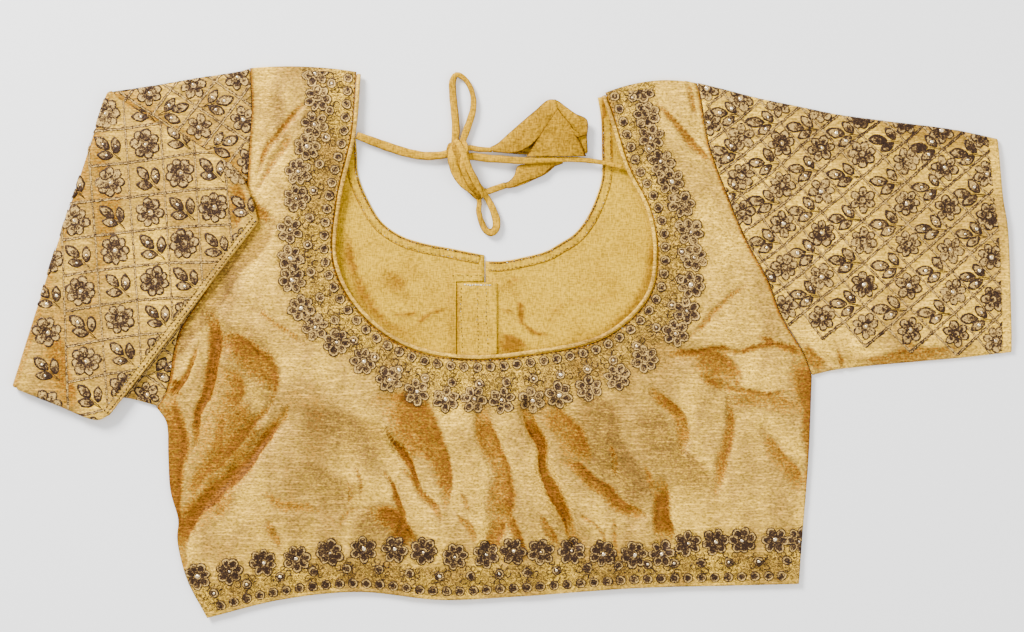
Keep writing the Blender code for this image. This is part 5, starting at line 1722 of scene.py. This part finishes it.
def row_of(line, pitch):
    """Places and directions at even steps along a plan line."""
    line = np.asarray(line, float)
    count = int(length_of(line) / pitch)
    places = resample(line, (np.arange(count) + 0.5) / count)
    along = np.gradient(places, axis=0)
    return [(place, np.arctan2(step[1], step[0])) for place, step in zip(places, along)]


def dashes(line, pitch, share, tone, width=0.28):
    """Stitches along a line."""
    return [
        stamp("dash", place, turn, pitch * share / 2, width, 0.35, tone)
        for place, turn in row_of(line, pitch)
    ]


def needlework(name, stamps, forms, finishes, height_at, loop=None):
    """One piece of many stitched shapes, set on the cloth below them and turned down at its outline."""
    if loop is not None:
        centres = np.array([s[1] for s in stamps])
        reach = np.array([s[3] for s in stamps])
        rim = np.vstack([loop, loop[:1]])
        kept = inside(centres, loop) | (
            (line_distance(centres, rim) < 0.75 * reach) & np.array([s[0] != "sequin" for s in stamps])
        )
        stamps = [s for s, keep in zip(stamps, kept) if keep]
    form = bmesh.new()
    tone_layer = form.verts.layers.float.new("thread_tone")
    shapes, tints = {}, {}
    for kind, mesh in forms.items():
        shapes[kind] = np.array([v.co[:] for v in mesh.vertices])
        kept = mesh.attributes.get("thread_tone")
        tints[kind] = np.array([v.value for v in kept.data]) if kept else np.zeros(len(mesh.vertices))
    plan, tones = [], []
    for kind, centre, turn, long, wide, rise, tone in stamps:
        form.from_mesh(forms[kind])
        local = shapes[kind] * (long, wide, rise)
        c, s = np.cos(turn), np.sin(turn)
        plan.append(np.column_stack([
            centre[0] + c * local[:, 0] - s * local[:, 1], centre[1] + s * local[:, 0] + c * local[:, 1],
            local[:, 2],
        ]))
        tones.append(np.clip(tone + tints[kind], 0.0, 1.0))
    plan, tones = np.vstack(plan), np.concatenate(tones)
    for amount, size, seed in ((HAND_WANDER[0], 4.2, 51), (HAND_WANDER[1], 2.2, 53)):
        plan[:, :2] += amount * np.stack(
            [wander(plan[:, :2], size, seed), wander(plan[:, :2], size, seed + 1)], axis=-1,
        )
    drop = np.zeros(len(plan))
    if loop is not None:
        out = ~inside(plan[:, :2], loop)
        held, _ = nearest(plan[out, :2], rim)
        beyond = plan[out, :2] - held
        far = np.linalg.norm(beyond, axis=1)
        plan[out, :2] = held + beyond / np.maximum(far, 1e-6)[:, None] * EDGE_STEP
        drop[out] = np.minimum(far, TURN_DOWN)
    plan[:, 2] = np.maximum(plan[:, 2] + height_at(plan[:, :2]) - drop, FLOOR_GAP)
    for vert, place, tone in zip(form.verts, plan * MM, tones):
        vert.co = place
        vert[tone_layer] = tone
    return shown(name, form, finishes)


def neck_and_hem_stamps(pick):
    """Stitched forms along the neck and the hem."""
    stamps = []
    for centres, tone in ((NECK_FLOWERS, NECK_TONE), (HEM_FLOWERS, HEM_TONE)):
        for centre in centres:
            stamps += flower(
                centre, "petal", pick, petals=pick.integers(6, 8), tone=tone + pick.uniform(-0.08, 0.08),
            )
    for place, turn in row_of(moved(NECK_LINE, -STUD_INSET), STUD_PITCH):
        stamps.append(stamp("petal", place, turn, STUD_RADIUS, STUD_RADIUS, 1.0, pick.uniform(-0.1, 0.2)))
    for place, turn in row_of(moved(NECK_LINE, -RING_INSET), RING_PITCH):
        stamps += ring(place, pick)
    for place, turn in row_of(moved(HEM_LINE, HEM_STUD_INSET)[2:-2], STUD_PITCH):
        stamps.append(stamp("petal", place, turn, STUD_RADIUS, STUD_RADIUS, 1.0, pick.uniform(-0.45, -0.1)))
    for left, right in zip(HEM_FLOWERS[:-1], HEM_FLOWERS[1:]):
        middle = (np.array(left) + np.array(right)) / 2
        foot = HEM_LINE[np.argmin(np.abs(HEM_LINE[:, 0] - middle[0]))]
        stamps += ring((middle[0], foot[1] + HEM_RING_INSET), pick, HEM_RING_TONE)
    return stamps


def ring(centre, pick, tone=0.0):
    """Round petal with curls of thread about it."""
    centre = np.asarray(centre, float)
    parts = [
        stamp(
            "petal", centre, pick.uniform(0, 3), RING_RADIUS, RING_RADIUS, 0.9,
            tone + pick.uniform(-0.05, 0.3),
        )
    ]
    if pick.uniform() < 0.6:
        size = pick.uniform(0.9, 1.4)
        parts.append(stamp("sequin", centre, 0.0, size, size, 1.7, 1.0))
    first = pick.uniform(0, 2 * np.pi)
    for k in range(CURLS):
        angle = first + 2 * np.pi * k / CURLS + pick.uniform(-0.3, 0.3)
        size = pick.uniform(1.5, 2.6)
        place = centre + toward(angle) * (RING_RADIUS + 0.7 * size + pick.uniform(0.2, 1.2))
        parts.append(
            stamp(
                "arc", place, pick.uniform(0, 6.3), size, size * pick.uniform(0.7, 1.0), 0.9,
                pick.uniform(-0.1, 0.1),
            )
        )
    return parts


def shaded(centre):
    """How much darker the stitching is where the sleeve turns under at its upper edge."""
    near = line_distance(np.array([centre]), np.array(SHADED_EDGE))[0]
    return -SHADED_DEPTH * float(np.exp(-(near / SHADED_REACH) ** 2))


def sleeve_stamps(pick):
    """Diamond lattice with a flower or a sprig in each cell."""
    rows = [list(map(np.array, row)) for row in SLEEVE_FLOWERS]
    for row in rows:
        row.insert(0, 2 * row[0] - row[1])
    lines, stamps = [], []
    for i, row in enumerate(rows):
        for j, centre in enumerate(row):
            stamps += flower(
                centre, "bloom", pick, 0.98, petals=pick.integers(6, 8), lit=0.6,
                tone=pick.choice([0.25, 0.15, 0.05, -0.2]) + shaded(centre),
            )
            if i + 1 < len(rows):
                right = rows[i + 1]
                across = (centre + right[j]) / 2
                if j + 1 < len(row):
                    middle = (centre + row[j + 1] + right[j] + right[j + 1]) / 4
                    stamps += sprig(middle + (0.8, -1.4), np.pi * 0.97, shaded(middle), pick)
                    down = (centre + row[j + 1]) / 2
                    down_right = (right[j] + right[j + 1]) / 2
                    next_across = (row[j + 1] + right[j + 1]) / 2
                    lines += [
                        chain(down, across, LATTICE_HALF * 0.88, shaded(across)),
                        chain(across, down_right, LATTICE_HALF * 0.8, 0.25),
                        chain(next_across, down, LATTICE_HALF * 0.8, 0.25),
                        chain(down_right, next_across, LATTICE_HALF * 0.88, shaded(next_across)),
                    ]
                else:
                    foot = centre + (centre - row[j - 1]) / 2
                    foot_right = right[j] + (right[j] - right[j - 1]) / 2
                    lines += [
                        chain(foot, across, LATTICE_HALF, -0.15),
                        chain(across, foot_right, LATTICE_HALF * 0.8, 0.25),
                    ]
    return lines + stamps


def turned_stamps(pick):
    """Square lattice of the turned sleeve, with flowers and sprigs by turns."""
    lines = []
    for first, start, last, end in TURNED_CELLS:
        start, end = np.array(start), np.array(end)
        step = (end - start) / max(last - first, 1)
        lines.append({k: start + step * (k - first) for k in range(first - 3, last + 4)})
    stamps = []
    for i, line in enumerate(lines):
        for k, centre in line.items():
            if (i + k) % 2 == 0:
                stamps += flower(
                    centre, "bloom", pick, 1.08, petals=pick.integers(7, 9),
                    tone=pick.choice([0.15, 0.0, -0.1]),
                )
            else:
                stamps += sprig(centre, np.pi * 0.76, -0.12, pick)
            if i + 1 < len(lines) and k in lines[i + 1] and k + 1 in line and k + 1 in lines[i + 1]:
                corner = (centre + line[k + 1] + lines[i + 1][k] + lines[i + 1][k + 1]) / 4
                if k + 2 in line and k + 2 in lines[i + 1]:
                    below = (line[k + 1] + line[k + 2] + lines[i + 1][k + 1] + lines[i + 1][k + 2]) / 4
                    stamps.append(chain(corner, below, LATTICE_HALF * 0.7, 0.25))
                if i + 2 < len(lines) and k in lines[i + 2] and k + 1 in lines[i + 2]:
                    beside = (
                        lines[i + 1][k] + lines[i + 1][k + 1] + lines[i + 2][k] + lines[i + 2][k + 1]
                    ) / 4
                    stamps.append(chain(corner, beside, LATTICE_HALF * 0.85, 0.05))
    return stamps


def inner_stamps(pick):
    """Stitched forms of the left sleeve's lower layer."""
    along, down = np.array(INNER_ALONG), np.array(INNER_DOWN)
    stamps = []
    for i in range(-4, 3):
        for j in range(-2, 8):
            centre = np.array(INNER_FLOWER) + i * along + j * down
            stamps += flower(centre, "bloom", pick, 0.95)
            stamps += sprig(centre + (along + down) / 2, np.pi * 0.1, 0.0, pick)
            corners = [centre + along / 2, centre + down / 2, centre - along / 2, centre - down / 2]
            for a, b in zip(corners, corners[1:] + corners[:1]):
                stamps.append(chain(a, b, LATTICE_HALF * 0.9, 0.1))
    return stamps


def make_needlework(forms, finishes):
    """Needlework of the back and both sleeves."""
    pick = np.random.default_rng(21)
    back_work = needlework(
        "needlework_back", neck_and_hem_stamps(pick), forms, finishes, lambda xy: back_top(xy)[0], BACK_LOOP)
    sleeve_work = needlework(
        "needlework_sleeve_right", sleeve_stamps(pick), forms, finishes, sleeve_work_height, RIGHT_WORK_LOOP)
    turned_work = needlework(
        "needlework_sleeve_turned", turned_stamps(pick), forms, finishes, turned_work_height, cuff_clear())
    inner_work = needlework(
        "needlework_sleeve_left", inner_stamps(pick), forms, finishes, lambda xy: inner_top(xy)[0],
        INNER_LOOP)
    return back_work, sleeve_work, turned_work, inner_work


def cuff_clear():
    """The outline of the turned sleeve without the plain strip of its cuff."""
    return shifted_cuff(
        TURNED_UPPER, TURNED_CUFF, TURNED_LOWER, smooth_line(FOLD_LINE, 10)[::-1], -TURNED_PLAIN,
    )

RIGHT_WORK_LOOP = shifted_cuff(
    SLEEVE_UPPER, SLEEVE_CUFF, SLEEVE_LOWER, moved(smooth_line(RIGHT_ARMHOLE, 30), -SEAM_GAP), -CUFF_PLAIN)


def edge_row(line, row, side=1.0):
    """A row of stitches beside a line, from a row of the stitch tables."""
    away, *sewn = row
    return dashes(moved(line, side * away), *sewn)


def make_stitches(forms, finish):
    """Rows of hand stitches along the edges."""
    finishes = [finish]
    back = edge_row(NECK_LINE, NECK_STITCHES) + edge_row(HEM_LINE, HEM_STITCHES)
    back_row = needlework(
        "stitches_back", back, forms, finishes, lambda xy: back_top(xy)[0] + STITCH_LIFT, BACK_LOOP,
    )
    cuff = smooth_line(TURNED_CUFF, 60)
    turned = sum((edge_row(cuff, row) for row in CUFF_STITCHES), [])
    turned_row = needlework(
        "stitches_cuff", turned, forms, finishes, lambda xy: turned_top(xy)[0] + STITCH_LIFT, COVER_LOOP,
    )
    facing = []
    for neck, side in ((FRONT_NECK_LEFT, -1.0), (FRONT_NECK_RIGHT, 1.0)):
        line = resample(smooth_line(neck, 200), np.linspace(*FACING_ENDS, 150))
        facing += sum((edge_row(line, row, side) for row in FACING_STITCHES), [])
    for x in FLAP_STITCHES:
        sway = np.array(
            [(x, FLAP_TOP - 3.0), (x - 0.4, 20.0), (x + 0.5, 0.0), (x, -40.0), (x, STRIP_BOTTOM + 2.0)]
        )
        facing += dashes(smooth_line(sway, 60), 2.8, 0.6, 0.25)
    facing += dashes([(-43.8, 47.4), (-21.0, 47.4)], 3.0, 0.6, 0.1)
    facing += dashes([(-35.0, 40.8), (-15.0, 40.8)], 2.0, 0.95, 0.95, 0.5)
    facing_row = needlework("stitches_facing", facing, forms, finishes, facing_height)
    return back_row, turned_row, facing_row


def facing_height(xy):
    """Top of the tape and the flap, and beside them of the neck facings, which slope away from the edge."""
    from_neck = np.minimum(
        line_distance(xy, smooth_line(FRONT_NECK_LEFT, 300)),
        line_distance(xy, smooth_line(FRONT_NECK_RIGHT, 300)))
    slope = ease(np.clip((from_neck - FACING_START) / (FACING_END - FACING_START), 0.0, 1.0))
    on_tape = (xy[:, 0] > TAPE_LEFT - 0.5) & (xy[:, 0] < BAND_RIGHT) & (xy[:, 1] < BAND_TOP + 0.2)
    on_flap = (xy[:, 0] > FLAP_LEFT) & (xy[:, 0] < FLAP_RIGHT) & (xy[:, 1] < FLAP_TOP)
    return np.where(on_tape | on_flap, STRIP_TOP, FACING_TOP - FACING_SLOPE * slope) + STITCH_LIFT / 2


def make_view():
    """Camera, lights and world."""
    camera = bpy.data.objects.new("camera", bpy.data.cameras.new("camera"))
    camera.data.lens = LENS
    camera.data.sensor_width = SENSOR
    camera.location = (
        VIEW_CENTRE[0] * MM, VIEW_CENTRE[1] * MM, (VIEW_WIDTH * LENS / SENSOR + CLOTH_HEIGHT) * MM,
    )
    bpy.context.scene.collection.objects.link(camera)
    bpy.context.scene.camera = camera
    world = bpy.data.worlds.new("studio")
    world.use_nodes = True
    world.node_tree.nodes["Background"].inputs["Color"].default_value = grey(1.0)
    world.node_tree.nodes["Background"].inputs["Strength"].default_value = WORLD_LIGHT
    bpy.context.scene.world = world
    for name, place, size, power in STUDIO_LIGHTS:
        lamp = bpy.data.lights.new(name, "AREA")
        lamp.size = size
        lamp.energy = power
        held = bpy.data.objects.new(name, lamp)
        held.location = place
        aim = -held.location.normalized()
        held.rotation_euler = aim.to_track_quat("-Z", "Y").to_euler()
        bpy.context.scene.collection.objects.link(held)


def make_floor():
    """Plain floor under the garment."""
    form = bmesh.new()
    bmesh.ops.create_grid(form, x_segments=1, y_segments=1, size=FLOOR_HALF)
    mesh = bpy.data.meshes.new("floor")
    form.to_mesh(mesh)
    form.free()
    made, _, shader, _ = finish_base("floor_paper", 0.9)
    shader.inputs["Base Color"].default_value = grey(FLOOR_GREY)
    mesh.materials.append(made)
    floor = bpy.data.objects.new("floor", mesh)
    bpy.context.scene.collection.objects.link(floor)


def main():
    """Builds every piece and hides the parts of model.glb that they replace."""
    make_view()
    make_floor()
    silk = silk_finish("gold_shot_silk", PALE_GOLD, MID_GOLD, OCHRE, DEEP_GOLD, grounded=True)
    sleeve_silk = silk_finish("gold_sleeve_silk", PALE_GOLD, MID_GOLD, OCHRE, DEEP_GOLD, base=0.06)
    turned_silk = silk_finish("gold_turned_silk", PALE_GOLD, MID_GOLD, OCHRE, DEEP_GOLD, turn=0.2, base=0.2)
    lining = plain_cloth_finish("lining_cotton", LINING_LIGHT, LINING_DARK)
    facing = plain_cloth_finish("facing_cotton", LINING_LIGHT, LINING_DARK, turn=0.4)
    tie_cloth = plain_cloth_finish("tie_cotton", TIE_LIGHT, TIE_DARK)
    roll_cloth = silk_finish("roll_silk", PALE_GOLD, MID_GOLD, OCHRE, DEEP_GOLD)
    thread = thread_finish("antique_thread", THREAD_DARK, THREAD_MID, THREAD_TAN)
    sequins = sequin_finish("sequins")
    stitch = thread_finish("stitching_thread", THREAD_DARK, THREAD_MID, STITCH_PALE, 0.8, 0.0)

    ties = make_ties(tie_cloth)
    knot = make_knot(tie_cloth)
    tassels = make_tassels(tie_cloth)
    back = make_back(silk)
    roll = make_piping(roll_cloth)
    fronts = make_fronts(lining)
    strips = make_strips(facing)
    right = make_right_sleeve(sleeve_silk)
    left = make_left_sleeve(turned_silk)
    forms = make_forms()
    work = make_needlework(forms, [thread, sequins])
    rows = make_stitches(forms, stitch)
    for mesh in forms.values():
        bpy.data.meshes.remove(mesh)


main()
